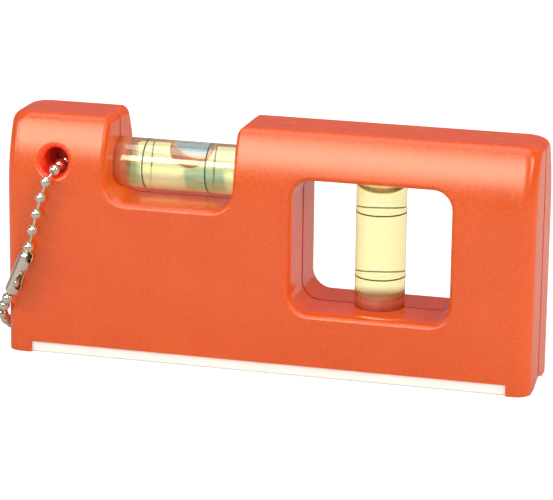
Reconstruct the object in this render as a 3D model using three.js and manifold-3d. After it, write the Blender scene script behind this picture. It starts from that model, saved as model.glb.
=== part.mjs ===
// Pocket spirit level: two moulded half shells closed over an aluminium base rail and two
// liquid vials, with a keyring ball chain looped through the hole in the left post.
// Millimetres. X runs along the base, Y from the front face to the rear face, Z up from the base.

import * as THREE from 'three';
import { mergeVertices } from 'three/addons/utils/BufferGeometryUtils.js';
import Module from 'manifold-3d';

// Moulded body
const BODY_LENGTH = 116;
const BODY_HEIGHT = 52.8;
const BODY_THICKNESS = 22.8;
const TOP_THICKNESS = 13.6;
const SHOULDER_HEIGHT = 15.8;
const END_FILLET = 3.3;
const TOP_END_ROUND = 2.4;
const TOP_EDGE_ROUND = 1.2;
const WALL = 2.2;
const BASE_SLAB_TOP = 9.2;
const PARTING_GROOVE_WIDTH = 0.36;
const PARTING_GROOVE_DEPTH = 0.3;
const SEAT_GAP = 0.3;
const CUT_OVERRUN = 2;

// Notch that the horizontal vial lies across, measured from the left end
const NOTCH_START = 22.6;
const NOTCH_DEPTH = 17.6;
const NOTCH_CORNER = 4.6;
const NOTCH_MOUTH_ROUND = 2.2;

// Window that the plumb vial stands across, measured from the right end
const WINDOW_END_WALL = 17.7;
const WINDOW_FLOOR = 14.2;
const WINDOW_BELOW_TOP = 10;
const WINDOW_CORNER = 4.2;
const LIP_ROUND = 1.1;
const LIP_START = 0.07;

// Block left between the notch and the window, and the notch's share of what the two are wide
const MIDDLE_BLOCK = 13;
const NOTCH_SHARE = 0.45;

// Keyring hole in the post
const HOLE_START = 11.1;
const HOLE_BELOW_TOP = 9.9;
const HOLE_RADIUS = 2.9;
const HOLE_LIP = 1.4;

// Aluminium base rail with its V groove, held between the shells by a T-shaped web
const LEFT_FOOT = 5.8;
const RIGHT_FOOT = 5;
const RAIL_HEIGHT = 2.4;
const RAIL_RECESS = 0.4;
const RAIL_ARRIS = 0.35;
const GROOVE_WIDTH = 10.2;
const GROOVE_DEPTH = 1.4;
const WEB_THICKNESS = 2;
const WEB_HEIGHT = 3.2;
const WEB_HEAD_WIDTH = 4.8;
const WEB_HEAD_HEIGHT = 1.3;

// Locating pins of the front shell and the bosses that take them in the rear shell
const PIN_RADIUS = 1.3;
const PIN_REACH = 4.5;
const PIN_LEAD = 0.4;
const BOSS_RADIUS = 3.4;
const RIB_THICKNESS = 1.4;
const LOW_BOSS_SHARE = 0.36;
const HIGH_BOSS_SHARE = 0.76;
const RIB_PLACE_SHARES = [0.34, 0.66];

// Vials: a blind acrylic tube, closed by a plug, with a barrel-shaped chamber
const VIAL_RADIUS = 5.45;
const VIAL_SOLID_END = 5.5;
const VIAL_EDGE = 0.4;
const PLUG_LENGTH = 4.5;
const PLUG_CLEARANCE = 0.1;
const CHAMBER_RADIUS = 4.35;
const CHAMBER_END_RADIUS = 4.3;
const CHAMBER_END_ROUND = 1.8;
const LIQUID_CLEARANCE = 0.1;
const VIAL_BELOW_TOP = 11.2;
const LEFT_SEAT_DEPTH = 2.3;
const RIGHT_SEAT_DEPTH = 7.5;
const LOW_SEAT_DEPTH = 3.7;
const HIGH_SEAT_DEPTH = 5.7;
const MARK_WIDTH = 0.35;
const MARK_THICKNESS = 0.12;
const MARK_CLEARANCE = 0.03;
const MARK_SPACING = 14.1;
const HORIZONTAL_MARK_START = 8.95;
const PLUMB_MARK_START = 10.6;

// Bubbles
const BUBBLE_LENGTH = 10;
const BUBBLE_WIDTH = 8.6;
const BUBBLE_DEPTH = 3.4;
const BUBBLE_WALL_CLEARANCE = 0.15;
const BUBBLE_CLEARANCE = 0.3;
const BUBBLE_PLACE_SHARE = 0.471;
const BUBBLE_LEFT_GAP = 2.3;
const BUBBLE_RIGHT_GAP = 1.2;
const PLUMB_BUBBLE_RADIUS = 3.3;
const PLUMB_BUBBLE_HEIGHT = 3.4;
const PLUMB_TRAVEL_SHARE = 0.715;

// Ball chain and its folded connector
const BEAD_RADIUS = 1.2;
const BEAD_PITCH = 3.9;
const BEAD_CAVITY_RADIUS = 0.92;
const BEAD_HOLE_RADIUS = 0.44;
const LINK_RADIUS = 0.22;
const LINK_HEAD_RADIUS = 0.48;
const LINK_HEAD_SETBACK = 0.2;
const CHAIN_CLEARANCE = 0.4;
const CHAIN_END_SLACK = 1.2;
const CHAIN_LOW_POINT = 2.9;
const CONNECTOR_RADIUS = 1.6;
const CONNECTOR_SHEET = 0.25;
const CONNECTOR_LENGTH = 10.2;
const CONNECTOR_BEAD_GAP = 0.16;
const CONNECTOR_LEAN = THREE.MathUtils.degToRad(22.7);
const CONNECTOR_END_CHAMFER = 0.45;
const CONNECTOR_END_HOLE = 0.55;
const CONNECTOR_SLOT = 0.8;
const CONNECTOR_MOUTH_RADIUS = 1.28;
const CONNECTOR_MOUTH_SHARES = [0.55, 0.755];
const CONNECTOR_TOP_MOUTH_RADIUS = 0.75;
const CONNECTOR_OPENING_TURN = THREE.MathUtils.degToRad(60);

// Facets
const CORNER_STEPS = 4;
const LIP_STEPS = 3;
const SHOULDER_STEPS = 5;
const HOLE_FACETS = 18;
const VIAL_FACETS = 24;
const BARREL_STEPS = 6;
const BEAD_FACETS = 10;
const BEAD_RINGS = 5;
const CAVITY_STEPS = 2;
const LINK_FACETS = 6;
const CONNECTOR_FACETS = 14;
const BOSS_FACETS = 16;
const PIN_FACETS = 12;
const MERGE_DISTANCE = 1e-4;

// Places that follow from the sizes above
const END_X = BODY_LENGTH / 2;
const HALF_THICKNESS = BODY_THICKNESS / 2;
const SHOULDER_DEPTH = (BODY_THICKNESS - TOP_THICKNESS) / 2;
const SHOULDER_START = BODY_HEIGHT - SHOULDER_HEIGHT;
const SHOULDER_RADIUS = (SHOULDER_HEIGHT ** 2 + SHOULDER_DEPTH ** 2) / (2 * SHOULDER_DEPTH);
const OPENINGS_WIDTH = BODY_LENGTH - NOTCH_START - MIDDLE_BLOCK - WINDOW_END_WALL;
const NOTCH_WIDTH = OPENINGS_WIDTH * NOTCH_SHARE;
const NOTCH_LEFT = -END_X + NOTCH_START;
const NOTCH_RIGHT = NOTCH_LEFT + NOTCH_WIDTH;
const NOTCH_FLOOR = BODY_HEIGHT - NOTCH_DEPTH;
const WINDOW_WIDTH = OPENINGS_WIDTH - NOTCH_WIDTH;
const WINDOW_HEIGHT = BODY_HEIGHT - WINDOW_BELOW_TOP - WINDOW_FLOOR;
const WINDOW_RIGHT = END_X - WINDOW_END_WALL;
const WINDOW_LEFT = WINDOW_RIGHT - WINDOW_WIDTH;
const WINDOW_CENTRE = (WINDOW_LEFT + WINDOW_RIGHT) / 2;
const WINDOW_MIDDLE = WINDOW_FLOOR + WINDOW_HEIGHT / 2;
const HOLE_X = -END_X + HOLE_START;
const HOLE_Z = BODY_HEIGHT - HOLE_BELOW_TOP;
const RAIL_LEFT = -END_X + LEFT_FOOT;
const RAIL_RIGHT = END_X - RIGHT_FOOT;
const RAIL_HALF_WIDTH = HALF_THICKNESS - RAIL_RECESS;
const VIAL_HEIGHT = BODY_HEIGHT - VIAL_BELOW_TOP;
const HORIZONTAL_VIAL_START = NOTCH_LEFT - LEFT_SEAT_DEPTH;
const HORIZONTAL_VIAL_LENGTH = LEFT_SEAT_DEPTH + NOTCH_WIDTH + RIGHT_SEAT_DEPTH;
const PLUMB_VIAL_START = WINDOW_FLOOR - LOW_SEAT_DEPTH;
const PLUMB_VIAL_LENGTH = LOW_SEAT_DEPTH + WINDOW_HEIGHT + HIGH_SEAT_DEPTH;
const CHAIN_OUTSIDE_X = -END_X - CHAIN_END_SLACK - BEAD_RADIUS;
const CHAIN_TOP_Z = HOLE_Z - HOLE_RADIUS + SEAT_GAP + BEAD_RADIUS;
const STRAND_Y = HALF_THICKNESS + CHAIN_CLEARANCE + BEAD_RADIUS;
const CONNECTOR_Y = HALF_THICKNESS + CHAIN_CLEARANCE + CONNECTOR_RADIUS;
const CHAIN_OVERHANG = BEAD_RADIUS - CHAIN_OUTSIDE_X - END_X;

const wasm = await Module();
wasm.setup();

/** Solid of a closed geometry, with its shared corners merged. */
function solidFrom(geometry) {
  const bare = geometry.clone();
  bare.deleteAttribute('normal');
  bare.deleteAttribute('uv');
  const merged = mergeVertices(bare, MERGE_DISTANCE);
  const vertProperties = new Float32Array(merged.attributes.position.array);
  const triVerts = new Uint32Array(merged.index.array);
  return new wasm.Manifold(new wasm.Mesh({ numProp: 3, vertProperties, triVerts }));
}

/** Geometry of a solid. */
function geometryFrom(solid) {
  const mesh = solid.getMesh();
  const geometry = new THREE.BufferGeometry();
  geometry.setAttribute('position', new THREE.BufferAttribute(new Float32Array(mesh.vertProperties), 3));
  geometry.setIndex(new THREE.BufferAttribute(new Uint32Array(mesh.triVerts), 1));
  geometry.computeVertexNormals();
  return geometry;
}

/** Volume inside a set of triangles, negative when the faces point inwards. */
function signedVolume(points, triangles) {
  const cross = new THREE.Vector3();
  let volume = 0;
  for (const [a, b, c] of triangles) {
    volume += points[a].dot(cross.crossVectors(points[b], points[c]));
  }
  return volume / 6;
}

/** Closed solid through a row of rings that all have the same number of points. */
function loft(rings) {
  const count = rings[0].length;
  const points = rings.flat();
  const triangles = [];
  for (let ring = 0; ring + 1 < rings.length; ring += 1) {
    for (let i = 0; i < count; i += 1) {
      const a = ring * count + i;
      const b = ring * count + (i + 1) % count;
      triangles.push([a, b, b + count], [a, b + count, a + count]);
    }
  }
  const last = (rings.length - 1) * count;
  for (const [a, b, c] of capTriangles(rings[0])) {
    triangles.push([c, b, a], [last + a, last + b, last + c]);
  }
  const inward = signedVolume(points, triangles) < 0;
  const index = triangles.flatMap(([a, b, c]) => (inward ? [c, b, a] : [a, b, c]));
  const geometry = new THREE.BufferGeometry().setFromPoints(points);
  geometry.setIndex(index);
  return solidFrom(geometry);
}

/** Triangles of a ring's cap, in the ring's own direction. */
function capTriangles(ring) {
  const box = new THREE.Box3().setFromPoints(ring);
  const size = box.getSize(new THREE.Vector3());
  const flat = [['x', 'y', size.z], ['y', 'z', size.x], ['z', 'x', size.y]];
  const [u, v] = flat.reduce((best, item) => (item[2] < best[2] ? item : best));
  const contour = ring.map((point) => new THREE.Vector2(point[u], point[v]));
  const reversed = THREE.ShapeUtils.isClockWise(contour);
  const faces = THREE.ShapeUtils.triangulateShape(contour, []);
  return faces.map(([a, b, c]) => {
    const turn = (contour[b].clone().sub(contour[a])).cross(contour[c].clone().sub(contour[a])) < 0;
    return turn === reversed ? [a, b, c] : [c, b, a];
  });
}

/** Points of an arc about a centre, both ends included, angles in degrees. */
function arc(centreU, centreV, radius, from, to, steps) {
  return Array.from({ length: steps + 1 }, (_, i) => {
    const angle = THREE.MathUtils.degToRad(from + (to - from) * (i / steps));
    return [centreU + radius * Math.cos(angle), centreV + radius * Math.sin(angle)];
  });
}

/** Outline of a rectangle with round corners, counter-clockwise. */
function roundedRectangle(centreU, centreV, halfU, halfV, radius, steps = CORNER_STEPS) {
  const u = halfU - radius;
  const v = halfV - radius;
  return [
    ...arc(centreU + u, centreV + v, radius, 0, 90, steps),
    ...arc(centreU - u, centreV + v, radius, 90, 180, steps),
    ...arc(centreU - u, centreV - v, radius, 180, 270, steps),
    ...arc(centreU + u, centreV - v, radius, 270, 360, steps),
  ];
}

/** Half the body's thickness at a height, before the top edge is rounded. */
function halfThicknessAt(z) {
  const rise = THREE.MathUtils.clamp(z - SHOULDER_START, 0, SHOULDER_HEIGHT);
  return HALF_THICKNESS - SHOULDER_RADIUS + Math.sqrt(SHOULDER_RADIUS ** 2 - rise ** 2);
}

/** How far a round of the given radius draws a side in, at a height below the top. */
function roundInset(z, radius) {
  const rise = THREE.MathUtils.clamp(z - (BODY_HEIGHT - radius), 0, radius);
  return radius - Math.sqrt(radius ** 2 - rise ** 2);
}

/** Prism through an outline in X and Z, from front to rear. */
function prismAlongY(outline, front, rear) {
  return loft([front, rear].map((y) => outline.map(([x, z]) => new THREE.Vector3(x, y, z))));
}

/** Prism through an outline in Y and Z, from left to right. */
function prismAlongX(outline, left, right) {
  return loft([left, right].map((x) => outline.map(([y, z]) => new THREE.Vector3(x, y, z))));
}

/** Box between two corners. */
function boxBetween(low, high) {
  const size = high.map((value, i) => value - low[i]);
  const middle = high.map((value, i) => (value + low[i]) / 2);
  return solidFrom(new THREE.BoxGeometry(...size).translate(...middle));
}

/** Cylinder along X, Y or Z between two stations. */
function cylinderAlong(axis, radius, from, to, across, facets) {
  const geometry = new THREE.CylinderGeometry(radius, radius, to - from, facets);
  const middle = (from + to) / 2;
  if (axis === 'x') geometry.rotateZ(-Math.PI / 2).translate(middle, across[0], across[1]);
  if (axis === 'y') geometry.translate(across[0], middle, across[1]);
  if (axis === 'z') geometry.rotateX(Math.PI / 2).translate(across[0], across[1], middle);
  return solidFrom(geometry);
}

/** Body form, drawn in by an inset on every side: rings of round-cornered rectangles, going up. */
function bodyForm(inset, floor) {
  const shoulder = Array.from({ length: SHOULDER_STEPS }, (_, i) => (
    SHOULDER_START + (SHOULDER_HEIGHT - TOP_END_ROUND) * (i / SHOULDER_STEPS)
  ));
  const crown = arc(0, BODY_HEIGHT - TOP_END_ROUND, TOP_END_ROUND, 0, 90, CORNER_STEPS).map(([, z]) => z);
  const rings = [floor, ...shoulder, ...crown].map((z) => {
    const halfLength = END_X - roundInset(z, TOP_END_ROUND) - inset;
    const halfThickness = halfThicknessAt(z) - roundInset(z, TOP_EDGE_ROUND) - inset;
    const height = Math.min(z, BODY_HEIGHT - inset - (BODY_HEIGHT - z) * inset / BODY_HEIGHT);
    const radius = Math.max(END_FILLET - inset, END_FILLET / 4);
    return roundedRectangle(0, 0, halfLength, halfThickness, radius)
      .map(([x, y]) => new THREE.Vector3(x, y, height));
  });
  return loft(rings);
}

/** Through cutter whose edges leave a round lip on the front and rear faces, shoulders included. */
function lippedCutter(outlineAt, lip) {
  const lipRings = Array.from({ length: LIP_STEPS + 1 }, (_, i) => {
    const angle = (Math.PI / 2) * (i / LIP_STEPS);
    return { offset: lip * (1 - Math.sin(angle)), depth: lip * (1 - Math.cos(angle)) - LIP_START };
  });
  const sides = [{ offset: lip, depth: -CUT_OVERRUN - SHOULDER_DEPTH }, ...lipRings];
  const ringAt = ({ offset, depth }, side) => outlineAt(offset).map(([x, z]) => (
    new THREE.Vector3(x, side * (halfThicknessAt(z) - depth), z)
  ));
  const front = sides.map((step) => ringAt(step, -1));
  const rear = sides.map((step) => ringAt(step, 1)).reverse();
  return loft([...front, ...rear]);
}

/** Outline of the notch, open at the top, grown by an offset that fades out at the mouth's round. */
function notchOutline(offset) {
  const above = BODY_HEIGHT + CUT_OVERRUN;
  const corner = NOTCH_CORNER + offset;
  const cornerZ = NOTCH_FLOOR + NOTCH_CORNER;
  const mouth = arc(0, BODY_HEIGHT - NOTCH_MOUTH_ROUND, NOTCH_MOUTH_ROUND, 90, 0, CORNER_STEPS)
    .map(([x, z], i) => [x - NOTCH_MOUTH_ROUND - offset * (i / CORNER_STEPS), z]);
  return [
    [NOTCH_LEFT - NOTCH_MOUTH_ROUND, above],
    ...mouth.map(([x, z]) => [NOTCH_LEFT + x, z]),
    ...arc(NOTCH_LEFT + NOTCH_CORNER, cornerZ, corner, 180, 270, CORNER_STEPS),
    ...arc(NOTCH_RIGHT - NOTCH_CORNER, cornerZ, corner, 270, 360, CORNER_STEPS),
    ...mouth.map(([x, z]) => [NOTCH_RIGHT - x, z]).reverse(),
    [NOTCH_RIGHT + NOTCH_MOUTH_ROUND, above],
  ];
}

/** Outline of the window, grown by an offset. */
function windowOutline(offset) {
  const halfWidth = WINDOW_WIDTH / 2 + offset;
  const halfHeight = WINDOW_HEIGHT / 2 + offset;
  return roundedRectangle(WINDOW_CENTRE, WINDOW_MIDDLE, halfWidth, halfHeight, WINDOW_CORNER + offset);
}

/** Outline of the keyring hole, grown by an offset. */
function holeOutline(offset) {
  return arc(HOLE_X, HOLE_Z, HOLE_RADIUS + offset, 0, 360, HOLE_FACETS).slice(1);
}

/** Right half of the rail's web and T head in Y and Z, grown by a gap. */
function webOutline(gap) {
  const web = WEB_THICKNESS / 2 + gap;
  const head = WEB_HEAD_WIDTH / 2 + gap;
  const headZ = RAIL_HEIGHT + WEB_HEIGHT - gap;
  const topZ = RAIL_HEIGHT + WEB_HEIGHT + WEB_HEAD_HEIGHT + gap;
  return [[web, RAIL_HEIGHT + gap], [web, headZ], [head, headZ], [head, topZ]];
}

/** Rail section in Y and Z: base with a V groove below, web and T head above. */
function railSection() {
  const right = [
    [GROOVE_WIDTH / 2, 0],
    [RAIL_HALF_WIDTH - RAIL_ARRIS, 0],
    [RAIL_HALF_WIDTH, RAIL_ARRIS],
    [RAIL_HALF_WIDTH, RAIL_HEIGHT],
    ...webOutline(0),
  ];
  const left = right.map(([y, z]) => [-y, z]).reverse();
  return [[0, GROOVE_DEPTH], ...right, ...left];
}

/** V groove along the whole base, as a cutter. */
function grooveCutter() {
  const slope = GROOVE_DEPTH / (GROOVE_WIDTH / 2);
  const outline = [
    [0, GROOVE_DEPTH],
    [-GROOVE_WIDTH / 2 - CUT_OVERRUN, -CUT_OVERRUN * slope],
    [GROOVE_WIDTH / 2 + CUT_OVERRUN, -CUT_OVERRUN * slope],
  ];
  return prismAlongX(outline, -END_X - CUT_OVERRUN, END_X + CUT_OVERRUN);
}

/** Room for the rail in both shells: its flat bed between the feet, and the slot for its web. */
function railBed() {
  const deep = HALF_THICKNESS + CUT_OVERRUN;
  const right = [
    [deep, -CUT_OVERRUN],
    [deep, RAIL_HEIGHT + SEAT_GAP],
    ...webOutline(SEAT_GAP),
  ];
  const left = right.map(([y, z]) => [-y, z]).reverse();
  return prismAlongX([...right, ...left], RAIL_LEFT - SEAT_GAP, RAIL_RIGHT + SEAT_GAP);
}

const BOSS_PLACES = [
  [HOLE_X, BODY_HEIGHT * LOW_BOSS_SHARE],
  [(NOTCH_LEFT + NOTCH_RIGHT) / 2, BODY_HEIGHT * LOW_BOSS_SHARE],
  [(WINDOW_RIGHT + END_X) / 2, BODY_HEIGHT * LOW_BOSS_SHARE],
  [(WINDOW_RIGHT + END_X) / 2, BODY_HEIGHT * HIGH_BOSS_SHARE],
];

/** Everything inside the walls that stays solid: frames round the openings, seats, bosses, ribs. */
function innerFrames() {
  const deep = HALF_THICKNESS;
  const seat = VIAL_RADIUS + SEAT_GAP + WALL;
  const vialEnd = HORIZONTAL_VIAL_START + HORIZONTAL_VIAL_LENGTH;
  const plumbTop = PLUMB_VIAL_START + PLUMB_VIAL_LENGTH;
  const seatLow = VIAL_HEIGHT - seat;
  const frames = [
    prismAlongY(notchOutline(0).map(([x, z]) => growFromNotch(x, z)), -deep, deep),
    prismAlongY(windowOutline(WALL), -deep, deep),
    cylinderAlong('y', HOLE_RADIUS + WALL, -deep, deep, [HOLE_X, HOLE_Z], HOLE_FACETS),
    boxBetween([HORIZONTAL_VIAL_START - SEAT_GAP - WALL, -deep, seatLow], [NOTCH_LEFT, deep, BODY_HEIGHT]),
    boxBetween([NOTCH_RIGHT, -deep, seatLow], [vialEnd + SEAT_GAP + WALL, deep, BODY_HEIGHT]),
    boxBetween([WINDOW_CENTRE - seat, -deep, 0], [WINDOW_CENTRE + seat, deep, WINDOW_FLOOR]),
    boxBetween([WINDOW_CENTRE - seat, -deep, WINDOW_MIDDLE], [WINDOW_CENTRE + seat, deep, plumbTop + WALL]),
  ];
  for (const [x, z] of BOSS_PLACES) {
    frames.push(cylinderAlong('y', BOSS_RADIUS, -deep, deep, [x, z], BOSS_FACETS));
  }
  for (const share of RIB_PLACE_SHARES) {
    const x = THREE.MathUtils.lerp(-END_X, WINDOW_LEFT, share);
    frames.push(boxBetween([x - RIB_THICKNESS / 2, -deep, 0], [x + RIB_THICKNESS / 2, deep, NOTCH_FLOOR]));
  }
  return frames;
}

/** A point of the notch outline, moved out by one wall. */
function growFromNotch(x, z) {
  const middle = (NOTCH_LEFT + NOTCH_RIGHT) / 2;
  return [x + Math.sign(x - middle) * WALL, z < BODY_HEIGHT - NOTCH_MOUTH_ROUND ? z - WALL : z];
}

/** Fine groove round the parting line, outside and in the notch and the window. */
function partingGroove() {
  const deep = HALF_THICKNESS;
  const half = PARTING_GROOVE_WIDTH / 2;
  const wide = END_X + CUT_OVERRUN;
  const slab = boxBetween([-wide, -half, -CUT_OVERRUN], [wide, half, BODY_HEIGHT + CUT_OVERRUN]);
  return slab
    .subtract(bodyForm(PARTING_GROOVE_DEPTH, -CUT_OVERRUN * 2)
      .subtract(prismAlongY(notchOutline(PARTING_GROOVE_DEPTH), -deep, deep))
      .subtract(prismAlongY(windowOutline(PARTING_GROOVE_DEPTH), -deep, deep)));
}

/** The whole moulded body before it is parted into shells. */
function mouldedBody() {
  let inside = bodyForm(WALL, BASE_SLAB_TOP);
  for (const frame of innerFrames()) inside = inside.subtract(frame);
  const vialFrom = HORIZONTAL_VIAL_START - SEAT_GAP;
  const vialTo = HORIZONTAL_VIAL_START + HORIZONTAL_VIAL_LENGTH + SEAT_GAP;
  const plumbFrom = PLUMB_VIAL_START - SEAT_GAP;
  const plumbTo = PLUMB_VIAL_START + PLUMB_VIAL_LENGTH + SEAT_GAP;
  const bore = VIAL_RADIUS + SEAT_GAP;
  const cuts = [
    inside,
    partingGroove(),
    lippedCutter(notchOutline, LIP_ROUND),
    lippedCutter(windowOutline, LIP_ROUND),
    lippedCutter(holeOutline, HOLE_LIP),
    cylinderAlong('x', bore, vialFrom, vialTo, [0, VIAL_HEIGHT], VIAL_FACETS),
    cylinderAlong('z', bore, plumbFrom, plumbTo, [WINDOW_CENTRE, 0], VIAL_FACETS),
    grooveCutter(),
    railBed(),
  ];
  return cuts.reduce((body, cut) => body.subtract(cut), bodyForm(0, 0));
}

/** Box round the half of the body in front of the parting line or behind it. */
function halfBox(side) {
  const wide = END_X + CUT_OVERRUN;
  const deep = HALF_THICKNESS + CUT_OVERRUN;
  const [front, rear] = side < 0 ? [-deep, 0] : [0, deep];
  return boxBetween([-wide, front, -CUT_OVERRUN], [wide, rear, BODY_HEIGHT + CUT_OVERRUN]);
}

/** Locating pin with a tapered lead, reaching into the rear shell. */
function locatingPin([x, z]) {
  const root = -PIN_REACH / 2;
  const profile = [
    [0, root],
    [PIN_RADIUS, root],
    [PIN_RADIUS, PIN_REACH - PIN_LEAD],
    [PIN_RADIUS - PIN_LEAD, PIN_REACH],
    [0, PIN_REACH],
  ];
  const points = profile.map(([r, y]) => new THREE.Vector2(r, y));
  return solidFrom(new THREE.LatheGeometry(points, PIN_FACETS).translate(x, 0, z));
}

/** Socket that takes one locating pin. */
function pinSocket([x, z]) {
  const radius = PIN_RADIUS + SEAT_GAP;
  return cylinderAlong('y', radius, -CUT_OVERRUN, PIN_REACH + SEAT_GAP, [x, z], BOSS_FACETS);
}

/** Front and rear half shells. */
function shells() {
  const body = mouldedBody();
  const front = BOSS_PLACES.reduce((shell, place) => shell.add(locatingPin(place)), body.intersect(halfBox(-1)));
  const rear = BOSS_PLACES.reduce((shell, place) => shell.subtract(pinSocket(place)), body.intersect(halfBox(1)));
  return { front, rear };
}

/** Length of the chamber in a vial of a given length. */
function chamberLength(length) {
  return length - VIAL_SOLID_END - PLUG_LENGTH;
}

/** Chamber profile from its blind end to its plug, drawn in by a clearance, as radius and station. */
function chamberProfile(length, clearance) {
  const start = VIAL_SOLID_END + clearance;
  const end = length - PLUG_LENGTH - clearance;
  const span = chamberLength(length);
  const round = arc(CHAMBER_END_RADIUS - CHAMBER_END_ROUND, start + CHAMBER_END_ROUND - clearance,
    CHAMBER_END_ROUND - clearance, -90, 0, LIP_STEPS).slice(0, -1);
  const barrel = Array.from({ length: BARREL_STEPS + 1 }, (_, i) => {
    const along = THREE.MathUtils.lerp(CHAMBER_END_ROUND, span, i / BARREL_STEPS);
    const fall = (CHAMBER_RADIUS - CHAMBER_END_RADIUS) * (2 * along / span - 1) ** 2;
    return [CHAMBER_RADIUS - fall - clearance, Math.min(VIAL_SOLID_END + along, end)];
  });
  return [[0, start], ...round, ...barrel];
}

/** Turned vial piece from a profile of radius and station. */
function turned(profile) {
  const points = profile.map(([radius, station]) => new THREE.Vector2(radius, station));
  return new THREE.LatheGeometry(points, VIAL_FACETS);
}

/** Blind tube: outside, open end, plug bore and barrel chamber in one profile. */
function tubeGeometry(length) {
  const inside = chamberProfile(length, 0).reverse();
  return turned([
    [0, 0],
    [VIAL_RADIUS - VIAL_EDGE, 0],
    [VIAL_RADIUS, VIAL_EDGE],
    [VIAL_RADIUS, length],
    [CHAMBER_END_RADIUS, length],
    ...inside,
  ]);
}

/** Plug in the tube's open end. */
function plugGeometry(length) {
  const radius = CHAMBER_END_RADIUS - PLUG_CLEARANCE;
  const start = length - PLUG_LENGTH + LIQUID_CLEARANCE;
  return turned([[0, start], [radius, start], [radius, length], [0, length]]);
}

/** Marker line round the tube, starting at a station. */
function markGeometry(station) {
  const inner = VIAL_RADIUS + MARK_CLEARANCE;
  const outer = inner + MARK_THICKNESS;
  const low = station - MARK_WIDTH / 2;
  const high = station + MARK_WIDTH / 2;
  return turned([[inner, low], [outer, low], [outer, high], [inner, high], [inner, low]]);
}

/** Liquid filling the chamber, as a solid along the vial's own axis. */
function liquidSolid(length) {
  const profile = chamberProfile(length, LIQUID_CLEARANCE);
  return solidFrom(turned([...profile, [0, profile.at(-1)[1]]]));
}

/** Flat-bottomed lens under the chamber's crown, at a station. */
function bubbleLens(station) {
  const halfLength = BUBBLE_LENGTH / 2;
  const halfWidth = BUBBLE_WIDTH / 2;
  const depth = BUBBLE_DEPTH;
  const profile = [...arc(halfLength - depth / 2, 0, depth / 2, -90, 0, LIP_STEPS), [halfLength, depth / 2]];
  const points = [[0, -depth / 2], ...profile, [0, depth / 2]].map(([r, h]) => new THREE.Vector2(r, h));
  const lens = new THREE.LatheGeometry(points, HOLE_FACETS);
  lens.scale(halfWidth / halfLength, 1, 1).rotateX(Math.PI / 2);
  return lens.translate(0, station, CHAMBER_RADIUS - depth / 2);
}

/** Horizontal vial's bubble, trimmed to the chamber. */
function horizontalBubble(length) {
  const chamber = solidFrom(turned([
    ...chamberProfile(length, BUBBLE_WALL_CLEARANCE),
    [0, length - PLUG_LENGTH - BUBBLE_WALL_CLEARANCE],
  ]));
  const station = VIAL_SOLID_END + chamberLength(length) * BUBBLE_PLACE_SHARE;
  return chamber.intersect(solidFrom(bubbleLens(station)));
}

/** Trough with round ends that the bubble slides along in the horizontal vial's liquid. */
function bubbleTrough(length) {
  const from = VIAL_SOLID_END + BUBBLE_LEFT_GAP + BUBBLE_LENGTH / 2;
  const to = length - PLUG_LENGTH - BUBBLE_RIGHT_GAP - BUBBLE_LENGTH / 2;
  const halfWidth = BUBBLE_WIDTH / 2 + BUBBLE_CLEARANCE;
  const reach = BUBBLE_LENGTH / 2 + BUBBLE_CLEARANCE;
  const floor = CHAMBER_RADIUS - BUBBLE_DEPTH - BUBBLE_CLEARANCE;
  const roundEnd = (station, angle) => arc(0, 0, 1, angle, angle + 180, HOLE_FACETS / 2)
    .map(([x, y]) => [x * halfWidth, station + y * reach]);
  const outline = [...roundEnd(to, 0), ...roundEnd(from, 180)];
  return loft([floor, CHAMBER_RADIUS + CUT_OVERRUN].map((z) => (
    outline.map(([x, y]) => new THREE.Vector3(x, y, z))
  )));
}

/** Plumb vial's bubble, a cap with a round lower end under the plug. */
function plumbBubbleGeometry(length) {
  const top = length - PLUG_LENGTH - BUBBLE_WALL_CLEARANCE;
  const low = top - PLUMB_BUBBLE_HEIGHT;
  const meniscus = PLUMB_BUBBLE_HEIGHT / 2;
  const round = arc(0, 0, 1, -90, 0, CORNER_STEPS)
    .map(([r, h]) => [r * PLUMB_BUBBLE_RADIUS, low + meniscus + h * meniscus]);
  return turned([...round, [PLUMB_BUBBLE_RADIUS, top], [0, top]]);
}

/** Bore that the plumb bubble slides along in its liquid, open under the plug. */
function plumbBubbleBore(length) {
  const radius = PLUMB_BUBBLE_RADIUS + BUBBLE_CLEARANCE;
  const travel = chamberLength(length) * PLUMB_TRAVEL_SHARE;
  const low = length - PLUG_LENGTH - PLUMB_BUBBLE_HEIGHT - travel - BUBBLE_CLEARANCE;
  return solidFrom(turned([[0, low], [radius, low], [radius, length], [0, length]]));
}

const CHAIN_STRAND_SHARES = [
  [0.075, 0.062],
  [0.16, 0.15],
  [0.245, 0.252],
  [0.31, 0.35],
];
const CONNECTOR_TOP_SHARES = [0.37, 0.445];
const CHAIN_WRAP_SHARES = [
  [0.88, 0.815, 0.289],
  [0.965, 0.64, 0.553],
  [0.99, 0.4, 0.777],
  [1, 0.14, 0.959],
];

/** Point of the chain's route from its share of the reach out, its reach forward and its share of a drop. */
function routePoint(outShare, forward, dropShare, fromZ = CHAIN_TOP_Z) {
  const x = THREE.MathUtils.lerp(HOLE_X, CHAIN_OUTSIDE_X, outShare);
  return new THREE.Vector3(x, -forward, THREE.MathUtils.lerp(fromZ, CHAIN_LOW_POINT, dropShare));
}

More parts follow.
